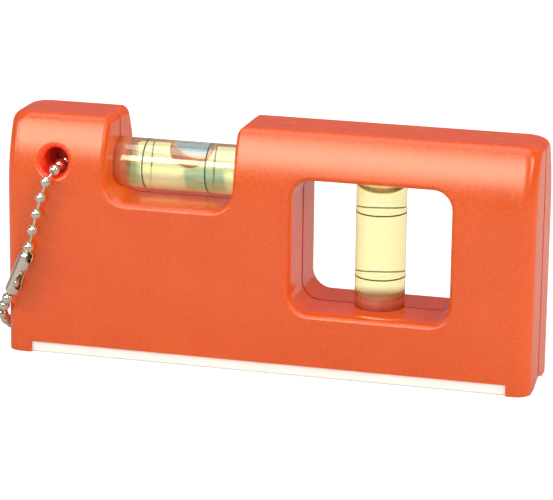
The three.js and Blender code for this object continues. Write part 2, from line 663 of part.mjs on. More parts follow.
/** Route of the chain from one connector bead up, through the hole, down and round to the other. */
function chainRoute() {
  const lipY = HALF_THICKNESS - HOLE_LIP;
  const rim = HOLE_LIP + CHAIN_CLEARANCE + BEAD_RADIUS;
  const overLip = new THREE.Vector3(
    HOLE_X, -lipY - rim * Math.SQRT1_2, HOLE_Z - HOLE_RADIUS - HOLE_LIP + rim * Math.SQRT1_2);
  const inBore = new THREE.Vector3(HOLE_X, -lipY + HOLE_LIP * 2, CHAIN_TOP_Z);
  const strand = CHAIN_STRAND_SHARES.map(([out, drop]) => routePoint(out, STRAND_Y, drop));
  const upper = routePoint(CONNECTOR_TOP_SHARES[0], CONNECTOR_Y, CONNECTOR_TOP_SHARES[1]);
  const hang = new THREE.Vector3(-Math.sin(CONNECTOR_LEAN), 0, -Math.cos(CONNECTOR_LEAN));
  const lower = upper.clone().addScaledVector(hang, CONNECTOR_LENGTH + 2 * (BEAD_RADIUS + CONNECTOR_BEAD_GAP));
  const wrap = CHAIN_WRAP_SHARES.map(([out, forward, drop]) => (
    routePoint(out, forward * STRAND_Y, drop, lower.z)
  ));
  const mirrored = (point) => new THREE.Vector3(point.x, -point.y, point.z);
  const frontUp = [upper, ...strand.slice().reverse(), overLip, inBore];
  const rearDown = [inBore, overLip, ...strand, upper, lower, ...wrap].map(mirrored);
  const under = [routePoint(1, 0, 1), ...wrap.slice().reverse(), lower];
  const curve = new THREE.CatmullRomCurve3([...frontUp, ...rearDown, ...under], false, 'centripetal');
  curve.arcLengthDivisions = 40 * BEAD_FACETS;
  return { curve, upper, lower };
}

/** Centres of the beads, with both end beads inside the connector. */
function beadCentres({ curve, upper, lower }) {
  const steps = Math.round(curve.getLength() / BEAD_PITCH);
  const outside = Array.from({ length: steps + 1 }, (_, i) => curve.getPointAt(i / steps));
  const pitch = curve.getLength() / steps;
  const axis = lower.clone().sub(upper).normalize();
  const first = upper.clone().addScaledVector(axis, pitch);
  const last = lower.clone().addScaledVector(axis, -pitch);
  return [first, ...outside, last];
}

/** Turn that takes +Y to a direction. */
function turnFromY(direction) {
  return new THREE.Quaternion().setFromUnitVectors(new THREE.Vector3(0, 1, 0), direction);
}

/** Hollow bead with the link to the next bead, whose head is caught inside that bead. */
function chainBead(previous, centre, next) {
  let bead = solidFrom(new THREE.SphereGeometry(BEAD_RADIUS, BEAD_FACETS, BEAD_RINGS));
  if (previous) {
    const back = previous.clone().sub(centre).normalize();
    const cavity = arc(0, 0, BEAD_CAVITY_RADIUS, -90, 45, CAVITY_STEPS);
    const reach = BEAD_RADIUS + BEAD_CAVITY_RADIUS;
    const profile = [...cavity, [BEAD_HOLE_RADIUS, BEAD_CAVITY_RADIUS], [BEAD_HOLE_RADIUS, reach], [0, reach]];
    const points = profile.map(([r, h]) => new THREE.Vector2(r, h));
    const socket = new THREE.LatheGeometry(points, LINK_FACETS);
    bead = bead.subtract(solidFrom(socket.applyQuaternion(turnFromY(back))));
  }
  if (next) {
    const toNext = next.clone().sub(centre);
    const head = toNext.length() - LINK_HEAD_SETBACK;
    const root = (BEAD_RADIUS + BEAD_CAVITY_RADIUS) / 2;
    const profile = [
      [0, root],
      [LINK_RADIUS, root],
      [LINK_RADIUS, head - LINK_HEAD_RADIUS],
      [LINK_HEAD_RADIUS, head],
      [0, head + LINK_HEAD_RADIUS / 2],
    ];
    const points = profile.map(([r, h]) => new THREE.Vector2(r, h));
    const link = new THREE.LatheGeometry(points, LINK_FACETS);
    bead = bead.add(solidFrom(link.applyQuaternion(turnFromY(toNext.normalize()))));
  }
  return bead;
}

/** Folded connector along its own Y axis, going down: a thin barrel with end holes, a slot and mouths. */
function connectorSolid() {
  const half = CONNECTOR_LENGTH / 2;
  const inner = CONNECTOR_RADIUS - CONNECTOR_SHEET;
  const shoulder = CONNECTOR_RADIUS - CONNECTOR_END_CHAMFER;
  const lower = [
    [CONNECTOR_RADIUS, half - CONNECTOR_END_CHAMFER],
    [shoulder, half],
    [CONNECTOR_END_HOLE, half],
    [CONNECTOR_END_HOLE, half - CONNECTOR_SHEET],
    [shoulder - CONNECTOR_SHEET / 2, half - CONNECTOR_SHEET],
    [inner, half - CONNECTOR_END_CHAMFER - CONNECTOR_SHEET / 2],
  ];
  const upper = lower.map(([r, h]) => [r, -h]).reverse();
  const points = [...lower, ...upper, lower[0]].map(([r, h]) => new THREE.Vector2(r, h));
  const slotHalf = CONNECTOR_SLOT / 2;
  const slotEnd = half - CONNECTOR_END_CHAMFER - CONNECTOR_SHEET;
  const barrel = solidFrom(new THREE.LatheGeometry(points, CONNECTOR_FACETS))
    .subtract(boxBetween([0, -half - CUT_OVERRUN, -slotHalf], [CONNECTOR_RADIUS * 2, slotEnd, slotHalf]));
  const mouths = [
    [CONNECTOR_TOP_MOUTH_RADIUS, -half],
    ...CONNECTOR_MOUTH_SHARES.map((share) => [CONNECTOR_MOUTH_RADIUS, THREE.MathUtils.lerp(-half, half, share)]),
  ];
  return mouths.reduce((solid, [radius, place]) => solid.subtract(
    cylinderAlong('x', radius, 0, CONNECTOR_RADIUS * 2, [place, 0], CONNECTOR_FACETS)), barrel);
}

/** Material of a sub-part. */
function finish(color, roughness, metalness = 0, opacity = 1) {
  return new THREE.MeshStandardMaterial({
    color, roughness, metalness, opacity, transparent: opacity < 1,
  });
}

const ORANGE = '#ee5a2c';
const ALUMINIUM = '#e4e4e0';
const ACRYLIC = '#eef2ea';
const LIQUID = '#e6ee8c';
const AIR = '#dfe8f2';
const MARK = '#22261e';
const NICKEL = '#cfc8ba';

const level = new THREE.Group();
level.name = 'spirit_level';
const assembly = new THREE.Group();
assembly.position.x = CHAIN_OVERHANG / 2;
level.add(assembly);

/** Adds one named sub-part to a group. */
function addPart(group, name, shape, material) {
  const geometry = geometryFrom(shape.isBufferGeometry ? solidFrom(shape) : shape);
  const mesh = new THREE.Mesh(geometry, material);
  mesh.name = name;
  group.add(mesh);
  return mesh;
}

const { front, rear } = shells();
addPart(assembly, 'front_shell', front, finish(ORANGE, 0.35));
addPart(assembly, 'rear_shell', rear, finish(ORANGE, 0.35));
addPart(assembly, 'base_rail', prismAlongX(railSection(), RAIL_LEFT, RAIL_RIGHT), finish(ALUMINIUM, 0.3, 1));

/** Adds a vial's tube, plug and two marker lines. */
function addVial(group, prefix, length, markStart) {
  addPart(group, `${prefix}_vial_tube`, tubeGeometry(length), finish(ACRYLIC, 0.05, 0, 0.35));
  addPart(group, `${prefix}_vial_plug`, plugGeometry(length), finish(ACRYLIC, 0.05, 0, 0.5));
  for (const [i, station] of [markStart, markStart + MARK_SPACING].entries()) {
    addPart(group, `${prefix}_mark_${i + 1}`, markGeometry(station), finish(MARK, 0.6));
  }
}

const horizontalVial = new THREE.Group();
horizontalVial.rotation.z = -Math.PI / 2;
horizontalVial.position.set(HORIZONTAL_VIAL_START, 0, VIAL_HEIGHT);
assembly.add(horizontalVial);
addVial(horizontalVial, 'horizontal', HORIZONTAL_VIAL_LENGTH, HORIZONTAL_MARK_START);
const horizontalLiquid = liquidSolid(HORIZONTAL_VIAL_LENGTH).subtract(bubbleTrough(HORIZONTAL_VIAL_LENGTH));
addPart(horizontalVial, 'horizontal_liquid', horizontalLiquid, finish(LIQUID, 0.1, 0, 0.7));
addPart(horizontalVial, 'horizontal_bubble', horizontalBubble(HORIZONTAL_VIAL_LENGTH), finish(AIR, 0.05, 0, 0.4));

const plumbVial = new THREE.Group();
plumbVial.rotation.x = Math.PI / 2;
plumbVial.position.set(WINDOW_CENTRE, 0, PLUMB_VIAL_START);
assembly.add(plumbVial);
addVial(plumbVial, 'plumb', PLUMB_VIAL_LENGTH, PLUMB_MARK_START);
const plumbLiquid = liquidSolid(PLUMB_VIAL_LENGTH).subtract(plumbBubbleBore(PLUMB_VIAL_LENGTH));
addPart(plumbVial, 'plumb_liquid', plumbLiquid, finish(LIQUID, 0.1, 0, 0.7));
addPart(plumbVial, 'plumb_bubble', plumbBubbleGeometry(PLUMB_VIAL_LENGTH), finish(AIR, 0.05, 0, 0.4));

const route = chainRoute();
const centres = beadCentres(route);
for (const [i, centre] of centres.entries()) {
  const bead = chainBead(centres[i - 1], centre, centres[i + 1]);
  const name = `chain_bead_${String(i + 1).padStart(2, '0')}`;
  addPart(assembly, name, bead, finish(NICKEL, 0.25, 1)).position.copy(centre);
}

const strandAxis = route.lower.clone().sub(route.upper).normalize();
const connector = addPart(assembly, 'chain_connector', connectorSolid(), finish(NICKEL, 0.25, 1));
connector.position.lerpVectors(route.upper, route.lower, 0.5);
connector.quaternion.copy(turnFromY(strandAxis)).multiply(
  new THREE.Quaternion().setFromAxisAngle(new THREE.Vector3(0, 1, 0), CONNECTOR_OPENING_TURN));

export default level;
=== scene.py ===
"""Pocket spirit level in orange plastic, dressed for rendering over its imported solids.

The two half shells, the vials, the ball chain and its connector are modelled here in full, and the
base rail keeps its solid and gets its finish. Sizes are in millimetres until a piece is finished,
and a finished piece is in metres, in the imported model's own frame.
"""

import logging
import math
from dataclasses import dataclass
from enum import Enum
from typing import Callable, Iterable, Sequence

import bmesh
import bpy
import numpy as np
from mathutils import Matrix, Vector


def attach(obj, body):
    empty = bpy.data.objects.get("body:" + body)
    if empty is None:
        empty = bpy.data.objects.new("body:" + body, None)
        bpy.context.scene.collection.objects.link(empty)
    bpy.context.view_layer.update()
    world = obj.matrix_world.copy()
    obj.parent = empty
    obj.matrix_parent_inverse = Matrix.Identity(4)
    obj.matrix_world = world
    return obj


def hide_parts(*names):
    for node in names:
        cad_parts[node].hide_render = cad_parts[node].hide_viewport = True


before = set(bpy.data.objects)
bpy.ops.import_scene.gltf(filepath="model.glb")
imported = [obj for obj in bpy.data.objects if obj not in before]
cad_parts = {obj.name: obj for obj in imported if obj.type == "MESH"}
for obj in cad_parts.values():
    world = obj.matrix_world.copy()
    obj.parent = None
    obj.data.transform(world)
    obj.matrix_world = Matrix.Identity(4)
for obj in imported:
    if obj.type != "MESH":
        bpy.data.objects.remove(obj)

Point = tuple[float, float]
Span = tuple[float, float]
Place = tuple[float, float, float]
Sizes = tuple[float, ...]
Colour = tuple[float, float, float]
Paint = tuple[float, float, float, float]
Outline = Callable[[float], list[Point]]
Socket = bpy.types.NodeSocket
Sockets = bpy.types.bpy_prop_collection

LOG = logging.getLogger("spirit_level")
MILLIMETRE = 0.001
BODY_MIDDLE_X = 1.8
MERGE_DISTANCE = 0.0005
CUT_OVERRUN = 2.0
NOISE_SPAN: Span = (0.3, 0.7)
WHITE: Paint = (1.0, 1.0, 1.0, 1.0)


class Body(Enum):
    """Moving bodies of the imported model."""

    LEVEL = "level"
    CHAIN = "chain"
    CONNECTOR = "connector"
    HORIZONTAL_BUBBLE = "horizontal_bubble"
    PLUMB_BUBBLE = "plumb_bubble"


class Slot(Enum):
    """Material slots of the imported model's record."""

    SHELL = "orange_shell"
    RAIL = "rail_aluminium"
    ACRYLIC = "clear_acrylic"
    INK = "marker_ink"
    LIQUID = "vial_liquid"
    AIR = "bubble_air"
    NICKEL = "chain_nickel"


class Operation(Enum):
    """Ways of combining two solids."""

    CUT = "DIFFERENCE"
    KEEP = "INTERSECT"
    JOIN = "UNION"


def linear(red: int, green: int, blue: int) -> Paint:
    """Scene-linear colour of a display colour.

    Args:
        red: Red from 0 to 255.
        green: Green from 0 to 255.
        blue: Blue from 0 to 255.

    Returns:
        The colour with an alpha of one.
    """
    channels = [value / 255 for value in (red, green, blue)]
    powers = [c / 12.92 if c <= 0.04045 else ((c + 0.055) / 1.055) ** 2.4 for c in channels]
    return (*powers, 1.0)


def arc(centre: Point, radius: float, start: float, end: float, steps: int) -> list[Point]:
    """Points of an arc, both ends included.

    Args:
        centre: Middle of the arc.
        radius: Radius of the arc.
        start: First angle in degrees.
        end: Last angle in degrees.
        steps: Number of equal steps between them.

    Returns:
        One point more than there are steps.
    """
    angles = np.radians(np.linspace(start, end, steps + 1))
    return [(centre[0] + radius * math.cos(a), centre[1] + radius * math.sin(a)) for a in angles]


def circle(centre: Point, radius: float, facets: int) -> list[Point]:
    """Points of a circle, one for each of its facets."""
    return arc(centre, radius, 0, 360, facets)[:-1]


def straight(start: Point, end: Point, steps: int) -> list[Point]:
    """Points strictly between the two ends of a line."""
    shares = [i / steps for i in range(1, steps)]
    return [tuple(a + (b - a) * s for a, b in zip(start, end)) for s in shares]


def upright(outline: Iterable[Point], y: float) -> np.ndarray:
    """Ring through an outline in X and Z, all at one place along Y."""
    return np.array([(x, y, z) for x, z in outline])


def rounded_rectangle(
    low: Point, high: Point, radius: float, corner_steps: int, side_steps: int = 1
) -> list[Point]:
    """Outline of a rectangle with round corners, counter-clockwise.

    Args:
        low: Lowest corner of the rectangle.
        high: Highest corner of the rectangle.
        radius: Radius of the corners.
        corner_steps: Steps round each corner.
        side_steps: Steps along each side.

    Returns:
        Points of the outline.
    """
    left, bottom, right, top = low[0] + radius, low[1] + radius, high[0] - radius, high[1] - radius
    middles = ((right, top), (left, top), (left, bottom), (right, bottom))
    corners = [arc(middle, radius, 90 * i, 90 * i + 90, corner_steps) for i, middle in enumerate(middles)]
    outline: list[Point] = []
    for corner, following in zip(corners, corners[1:] + corners[:1]):
        outline += corner + straight(corner[-1], following[0], side_steps)
    return outline


def evaluated_mesh(thing: bpy.types.Object) -> bpy.types.Mesh:
    """Plain mesh of an object with its modifiers, which stay as they are.

    Args:
        thing: The object.

    Returns:
        A new mesh.
    """
    graph = bpy.context.evaluated_depsgraph_get()
    graph.update()
    return bpy.data.meshes.new_from_object(thing.evaluated_get(graph), depsgraph=graph)


class Solid:
    """Closed mesh under construction, in millimetres about the middle of the body."""

    def __init__(
        self, name: str, points: np.ndarray, faces: Sequence[Sequence[int]], slots: Sequence[int] = ()
    ) -> None:
        """Makes the solid's object.

        Args:
            name: Name of the object.
            points: Corner points, one row each.
            faces: Corner numbers of each face.
            slots: Material slot of each face, or nothing for the first slot throughout.
        """
        mesh = bpy.data.meshes.new(name)
        mesh.from_pydata([tuple(point) for point in points], [], [tuple(face) for face in faces])
        if len(slots):
            mesh.polygons.foreach_set("material_index", list(slots))
        shape = bmesh.new()
        shape.from_mesh(mesh)
        bmesh.ops.recalc_face_normals(shape, faces=shape.faces)
        shape.to_mesh(mesh)
        shape.free()
        self.thing = bpy.data.objects.new(name, mesh)
        bpy.context.scene.collection.objects.link(self.thing)

    @classmethod
    def loft(cls, name: str, rings: Sequence[np.ndarray]) -> "Solid":
        """Solid through a row of rings that have the same number of points.

        Args:
            name: Name of the object.
            rings: Rings of points from one end to the other.

        Returns:
            The closed solid.
        """
        count = len(rings[0])
        faces: list[Sequence[int]] = [list(range(count))[::-1]]
        for ring in range(len(rings) - 1):
            low = ring * count
            for i in range(count):
                j = (i + 1) % count
                faces.append((low + i, low + j, low + count + j, low + count + i))
        last = (len(rings) - 1) * count
        faces.append(list(range(last, last + count)))
        return cls(name, np.concatenate(rings), faces)

    @classmethod
    def prism(cls, name: str, axis: int, outline: Sequence[Point], low: float, high: float) -> "Solid":
        """Prism through an outline.

        Args:
            name: Name of the object.
            axis: Number of the axis that the prism runs along.
            outline: Points on the two other axes, in their order.
            low: Start along the axis.
            high: End along the axis.

        Returns:
            The closed prism.
        """
        rings = [np.insert(np.array(outline, float), axis, station, axis=1) for station in (low, high)]
        return cls.loft(name, rings)

    @classmethod
    def box(cls, name: str, low: Sequence[float], high: Sequence[float]) -> "Solid":
        """Box between two corners."""
        outline = [(low[1], low[2]), (high[1], low[2]), (high[1], high[2]), (low[1], high[2])]
        return cls.prism(name, 0, outline, low[0], high[0])

    @classmethod
    def turned(cls, name: str, profile: Sequence[Point], facets: int, slots: Sequence[int] = ()) -> "Solid":
        """Turned solid about the Z axis.

        Args:
            name: Name of the object.
            profile: Radius and station of each profile point. It starts and ends on the axis, or
                closes on itself.
            facets: Number of facets round the axis.
            slots: Material slot of each profile segment, or nothing for the first slot.

        Returns:
            The closed solid.
        """
        closed = profile[0] == profile[-1] and profile[0][0] > 0
        points: list[Place] = []
        rows: list[list[int]] = []
        for radius, station in profile[:-1] if closed else profile:
            if radius <= 0:
                rows.append([len(points)] * facets)
                points.append((0.0, 0.0, station))
                continue
            rows.append(list(range(len(points), len(points) + facets)))
            points += [(x, y, station) for x, y in circle((0, 0), radius, facets)]
        faces: list[list[int]] = []
        numbers: list[int] = []
        following = rows[1:] + rows[:1] if closed else rows[1:]
        for segment, (lower, upper) in enumerate(zip(rows, following)):
            for i in range(facets):
                j = (i + 1) % facets
                faces.append(list(dict.fromkeys((lower[i], lower[j], upper[j], upper[i]))))
                numbers.append(slots[segment] if slots else 0)
        return cls(name, np.array(points, float), faces, numbers)

    def combine(self, operation: Operation, tools: Iterable["Solid"]) -> "Solid":
        """Combines the solid with others, which are used up.

        Args:
            operation: What is done with each of the other solids.
            tools: The other solids.

        Returns:
            The solid itself.
        """
        tools = list(tools)
        for tool in tools:
            modifier = self.thing.modifiers.new(operation.name.lower(), "BOOLEAN")
            modifier.solver = "MANIFOLD"
            modifier.operation = operation.value
            modifier.object = tool.thing
        self.settle()
        for tool in tools:
            tool.discard()
        return self

    def settle(self) -> None:
        """Makes what the modifiers show the solid's own mesh."""
        self.thing.data = evaluated_mesh(self.thing)
        self.thing.modifiers.clear()

    def copy(self, name: str) -> "Solid":
        """Copies the solid.

        Args:
            name: Name of the copy.

        Returns:
            The copy.
        """
        twin = Solid(name, np.zeros((0, 3)), [])
        twin.thing.data = self.thing.data.copy()
        return twin

    def moved(self, matrix: Matrix) -> "Solid":
        """Moves the solid's points by a matrix."""
        self.thing.data.transform(matrix)
        return self

    def discard(self) -> None:
        """Removes the solid's object."""
        bpy.data.objects.remove(self.thing)


class Graph:
    """Node tree with short calls for its nodes and links."""

    def __init__(self, tree: bpy.types.NodeTree) -> None:
        """Empties the tree and keeps it."""
        self.tree = tree
        tree.nodes.clear()

    def feed(self, socket: Socket, value: object) -> None:
        """Links a socket to an input, or sets the input's own value.

        Args:
            socket: The input.
            value: The socket that feeds it, or its value.
        """
        if isinstance(value, Socket):
            self.tree.links.new(value, socket)
        else:
            socket.default_value = value

    def node(self, kind: str, inputs: dict[str, object] | None = None, **settings: object) -> bpy.types.Node:
        """Adds a node.

        Args:
            kind: Type name of the node.
            inputs: Values or sockets for the node's inputs, by name or number.
            **settings: Values for the node's own properties.

        Returns:
            The new node.
        """
        made = self.tree.nodes.new(kind)
        for name, value in settings.items():
            setattr(made, name, value)
        for name, value in (inputs or {}).items():
            self.feed(made.inputs[name], value)
        return made

    def parts(self, vector: Socket) -> Sockets:
        """X, Y and Z of a vector."""
        return self.node("ShaderNodeSeparateXYZ", {0: vector}).outputs

    def rays(self) -> Sockets:
        """What kind of ray meets the surface."""
        return self.node("ShaderNodeLightPath").outputs

    def noise(self, vector: Socket, size: float, detail: float = 2.0) -> Socket:
        """Noise whose blotches are about as wide as a size in millimetres."""
        inputs = {"Vector": vector, "Scale": 1 / (size * MILLIMETRE), "Detail": detail}
        return self.node("ShaderNodeTexNoise", inputs).outputs["Fac"]

    def ranged(self, value: Socket, source: Span, target: Span = (0.0, 1.0)) -> Socket:
        """Value brought from one range to another."""
        inputs = {"Value": value, 1: source[0], 2: source[1], 3: target[0], 4: target[1]}
        return self.node("ShaderNodeMapRange", inputs).outputs[0]

    def along(self, value: Socket, ends: Span, target: Span = (0.0, 1.0)) -> Socket:
        """Distance brought from a stretch in millimetres to another range."""
        return self.ranged(value, (ends[0] * MILLIMETRE, ends[1] * MILLIMETRE), target)

    def band(self, value: Socket, ends: Span, edge: float) -> Socket:
        """Share that is 1 between two ends and fades over a soft edge.

        Args:
            value: Distance that the band lies along.
            ends: Start and end of the band in millimetres.
            edge: Half the width of its soft edges in millimetres.

        Returns:
            The share.
        """
        rise = self.along(value, (ends[0] - edge, ends[0] + edge))
        fall = self.along(value, (ends[1] - edge, ends[1] + edge), (1.0, 0.0))
        return self.maths("MULTIPLY", rise, fall)

    def maths(self, operation: str, first: object, second: object = 0.0) -> Socket:
        """Result of a Math node."""
        return self.node("ShaderNodeMath", {0: first, 1: second}, operation=operation).outputs[0]

    def distance(self, first: Socket, second: Socket) -> Socket:
        """Length of the diagonal over two offsets that are square to each other."""
        offset = self.node("ShaderNodeCombineXYZ", {0: first, 1: second})
        return self.node("ShaderNodeVectorMath", {0: offset.outputs[0]}, operation="LENGTH").outputs["Value"]

    def blend(self, share: object, first: object, second: object) -> Socket:
        """Mixes two colours.

        Args:
            share: Share of the second colour.
            first: First colour.
            second: Second colour.

        Returns:
            The mixed colour.
        """
        made = self.node("ShaderNodeMix", data_type="RGBA")
        for name, value in (("Factor_Float", share), ("A_Color", first), ("B_Color", second)):
            self.feed(next(s for s in made.inputs if s.identifier == name), value)
        return next(s for s in made.outputs if s.identifier == "Result_Color")

    def mottled(
        self, noise: Socket, first: Paint, second: Paint, span: Span = NOISE_SPAN, most: float = 1.0
    ) -> Socket:
        """Colour that a noise varies between two others.

        Args:
            noise: The noise.
            first: Colour where the noise is low.
            second: Colour where the noise is high.
            span: Values of the noise between which the colour changes.
            most: Largest share of the second colour.

        Returns:
            The varied colour.
        """
        return self.blend(self.ranged(noise, span, (0.0, most)), first, second)

    def bump(self, height: Socket, strength: float, depth: float) -> Socket:
        """Normal of a fine relief whose depth is in millimetres."""
        inputs = {"Strength": strength, "Distance": depth * MILLIMETRE, "Height": height}
        return self.node("ShaderNodeBump", inputs).outputs["Normal"]

    def shader(self, kind: str, inputs: dict[str, object] | None = None) -> Socket:
        """Output of a shader node."""
        return self.node(f"ShaderNode{kind}", inputs).outputs[0]

    def glass(self, colour: object, index: float) -> Socket:
        """Output of a smooth glass shader with the index of its far side against its near side."""
        return self.shader("BsdfGlass", {"Color": colour, "Roughness": 0.0, "IOR": index})

    def background(self, colour: object, strength: float = 1.0) -> Socket:
        """Output of a world's background."""
        return self.shader("Background", {"Color": colour, "Strength": strength})

    def mixed(self, share: Socket, first: Socket, second: Socket) -> Socket:
        """Mix of two shaders."""
        return self.shader("MixShader", {0: share, 1: first, 2: second})


class Finish:
    """Surface finish that makes one material, which its pieces share."""

    slot: Slot
    name: str

    def material(self) -> bpy.types.Material:
        """Makes the finish's material at its first use.

        Returns:
            The material.
        """
        found = bpy.data.materials.get(self.name)
        if found:
            return found
        made = bpy.data.materials.new(self.name)
        made.use_nodes = True
        graph = Graph(made.node_tree)
        graph.node("ShaderNodeOutputMaterial", {"Surface": self.surface(graph)})
        return made

    def surface(self, graph: Graph) -> Socket:
        """Builds the finish's shader.

        Args:
            graph: Node tree that the shader is built in.

        Returns:
            The shader's output.
        """
        raise NotImplementedError

    @staticmethod
    def place(graph: Graph) -> Socket:
        """Object coordinates."""
        return graph.node("ShaderNodeTexCoord").outputs["Object"]

    @staticmethod
    def lit_through(graph: Graph, shader: Socket, tint: Colour) -> Socket:
        """Lets the light of lamps and of other surfaces through a clear shader.

        Args:
            graph: Node tree of the material.
            shader: The clear shader.
            tint: Colour of the light that comes through.

        Returns:
            The combined shader.
        """
        rays = graph.rays()
        passing = graph.maths("MAXIMUM", rays["Is Shadow Ray"], rays["Is Diffuse Ray"])
        return graph.mixed(passing, shader, graph.shader("BsdfTransparent", {"Color": (*tint, 1.0)}))


@dataclass(frozen=True)
class MouldedPlastic(Finish):
    """Moulded plastic, grained on its faces and round shoulders and glossier in its openings, with painted
    shade in its parting groove and a painted glow in its keyring hole.
    """

    name: str = "moulded_orange"
    slot: Slot = Slot.SHELL
    colour: Paint = linear(214, 84, 9)
    deep_colour: Paint = linear(209, 78, 6)
    mottle_size: float = 14.0
    # Painted shade: the dark red of the shadow inside the parting groove.
    seam_shade_colour: Paint = linear(166, 20, 5)
    seam_reach: Span = (0.25, 0.75)
    seam_share: float = 0.92
    seam_fade: Span = (44.0, 50.0)
    seam_left: float = 0.4
    # Painted glow: a deeper red in the keyring hole stands for light passing through the plastic.
    bore_glow_colour: Paint = linear(252, 58, 12)
    bore_middle: Point = (-45.1, 42.9)
    bore_reach: Span = (4.2, 3.2)
    roughness: Span = (0.17, 0.27)
    grain_roughness: Span = (-0.06, 0.06)
    grain_size: float = 0.42
    fine_grain_size: float = 0.22
    fine_grain_share: float = 0.5
    grain_depth: float = 0.035
    grain_strength: float = 0.14
    grain_heights: Span = (33.0, 42.0)
    low_grain_share: float = 0.3
    shoulder_start: float = 37.0
    shoulder_radius: float = 29.43
    half_thickness: float = 11.4
    face_reach: Span = (-0.8, -0.4)
    index: float = 1.5
    gloss: float = 0.85
    glow: float = 0.3
    glow_depth: float = 1.6
    glow_reach: Colour = (1.0, 0.22, 0.08)

    def surface(self, graph: Graph) -> Socket:
        """Builds the plastic's shader.

        Args:
            graph: Node tree that the shader is built in.

        Returns:
            The shader's output.
        """
        place = self.place(graph)
        parts = graph.parts(place)
        mottle = graph.noise(place, self.mottle_size, 3.0)
        grain = graph.noise(place, self.grain_size, 1.0)
        fine = graph.noise(place, self.fine_grain_size, 0.0)
        seam = self.in_seam(graph, parts)
        colour = graph.mottled(mottle, self.colour, self.deep_colour)
        # Painted glow of light through the plastic inside the keyring hole.
        colour = graph.blend(self.in_bore(graph, parts), colour, self.bore_glow_colour)
        # Painted shade: colour darkens the parting groove where its own shadow falls.
        colour = graph.blend(seam, colour, self.seam_shade_colour)
        both = graph.maths("ADD", grain, graph.maths("MULTIPLY", fine, self.fine_grain_share))
        return graph.shader("BsdfPrincipled", {
            "Base Color": colour,
            "Roughness": graph.maths("MAXIMUM", self.roughened(graph, parts, grain), seam),
            "Normal": graph.bump(both, self.grain_strength, self.grain_depth),
            "IOR": self.index,
            "Specular IOR Level": self.gloss,
            "Subsurface Weight": self.glow,
            "Subsurface Radius": self.glow_reach,
            "Subsurface Scale": self.glow_depth * MILLIMETRE,
        })

    def in_seam(self, graph: Graph, parts: Sockets) -> Socket:
        """Share of the painted shade in the parting groove, high in the groove and fading a little towards
        the top; it also raises the groove's roughness.
        """
        seam = graph.along(graph.maths("ABSOLUTE", parts["Y"]), self.seam_reach, (self.seam_share, 0.0))
        return graph.maths("MULTIPLY", seam, graph.along(parts["Z"], self.seam_fade, (1.0, self.seam_left)))

    def in_bore(self, graph: Graph, parts: Sockets) -> Socket:
        """Finds the keyring hole, where a deeper red is painted in as a painted glow of light passing through
        the plastic.

        Args:
            graph: Node tree of the material.
            parts: Object coordinates.

        Returns:
            Share that is 1 there.
        """
        offsets = [graph.maths("SUBTRACT", parts[axis], middle * MILLIMETRE)
                   for axis, middle in zip("XZ", self.bore_middle)]
        return graph.along(graph.distance(*offsets), self.bore_reach)

    def on_face(self, graph: Graph, parts: Sockets) -> Socket:
        """Finds the two faces with their round shoulders.

        Args:
            graph: Node tree of the material.
            parts: Object coordinates.

        Returns:
            Share that is 1 there, and 0 on the top, on the ends and in the openings.
        """
        sunk = (self.shoulder_radius - self.half_thickness) * MILLIMETRE
        deep = graph.maths("ADD", graph.maths("ABSOLUTE", parts["Y"]), sunk)
        rise = graph.maths("SUBTRACT", parts["Z"], self.shoulder_start * MILLIMETRE)
        away = graph.distance(deep, graph.maths("MAXIMUM", rise, 0.0))
        low, high = self.face_reach
        return graph.along(away, (self.shoulder_radius + low, self.shoulder_radius + high))

    def roughened(self, graph: Graph, parts: Sockets, grain: Socket) -> Socket:
        """Works out the plastic's roughness.

        Args:
            graph: Node tree of the material.
            parts: Object coordinates.
            grain: Noise of the grain.

        Returns:
            Roughness, which the grain varies most on the shoulders and not at all in the openings.
        """
        face = self.on_face(graph, parts)
        height = graph.along(parts["Z"], self.grain_heights, (self.low_grain_share, 1.0))
        share = graph.maths("MULTIPLY", face, height)
        varied = graph.maths("MULTIPLY", graph.ranged(grain, NOISE_SPAN, self.grain_roughness), share)
        return graph.maths("ADD", varied, graph.ranged(face, (0.0, 1.0), self.roughness))


@dataclass(frozen=True)
class HazedMetal(Finish):
    """Metal whose colour and gloss one noise varies, with a fine relief."""

    name: str
    slot: Slot
    colour: Paint
    dull_colour: Paint
    dull_share: float
    dull_size: float
    dull_detail: float
    dull_span: Span
    dull_stretch: float
    metallic: float
    roughness: Span
    relief_size: float
    relief_strength: float
    relief_depth: float

    def surface(self, graph: Graph) -> Socket:
        """Builds the metal's shader.

        Args:
            graph: Node tree that the shader is built in.

        Returns:
            The shader's output.
        """
        stretch = (1 / self.dull_stretch, 1.0, 1.0)
        place = graph.node("ShaderNodeMapping", {"Vector": self.place(graph), "Scale": stretch}).outputs[0]
        dull = graph.noise(place, self.dull_size, self.dull_detail)
        relief = graph.noise(place, self.relief_size)
        return graph.shader("BsdfPrincipled", {
            "Base Color": graph.mottled(dull, self.colour, self.dull_colour, self.dull_span, self.dull_share),
            "Metallic": self.metallic,
            "Roughness": graph.ranged(dull, NOISE_SPAN, self.roughness),
            "Normal": graph.bump(relief, self.relief_strength, self.relief_depth),
        })


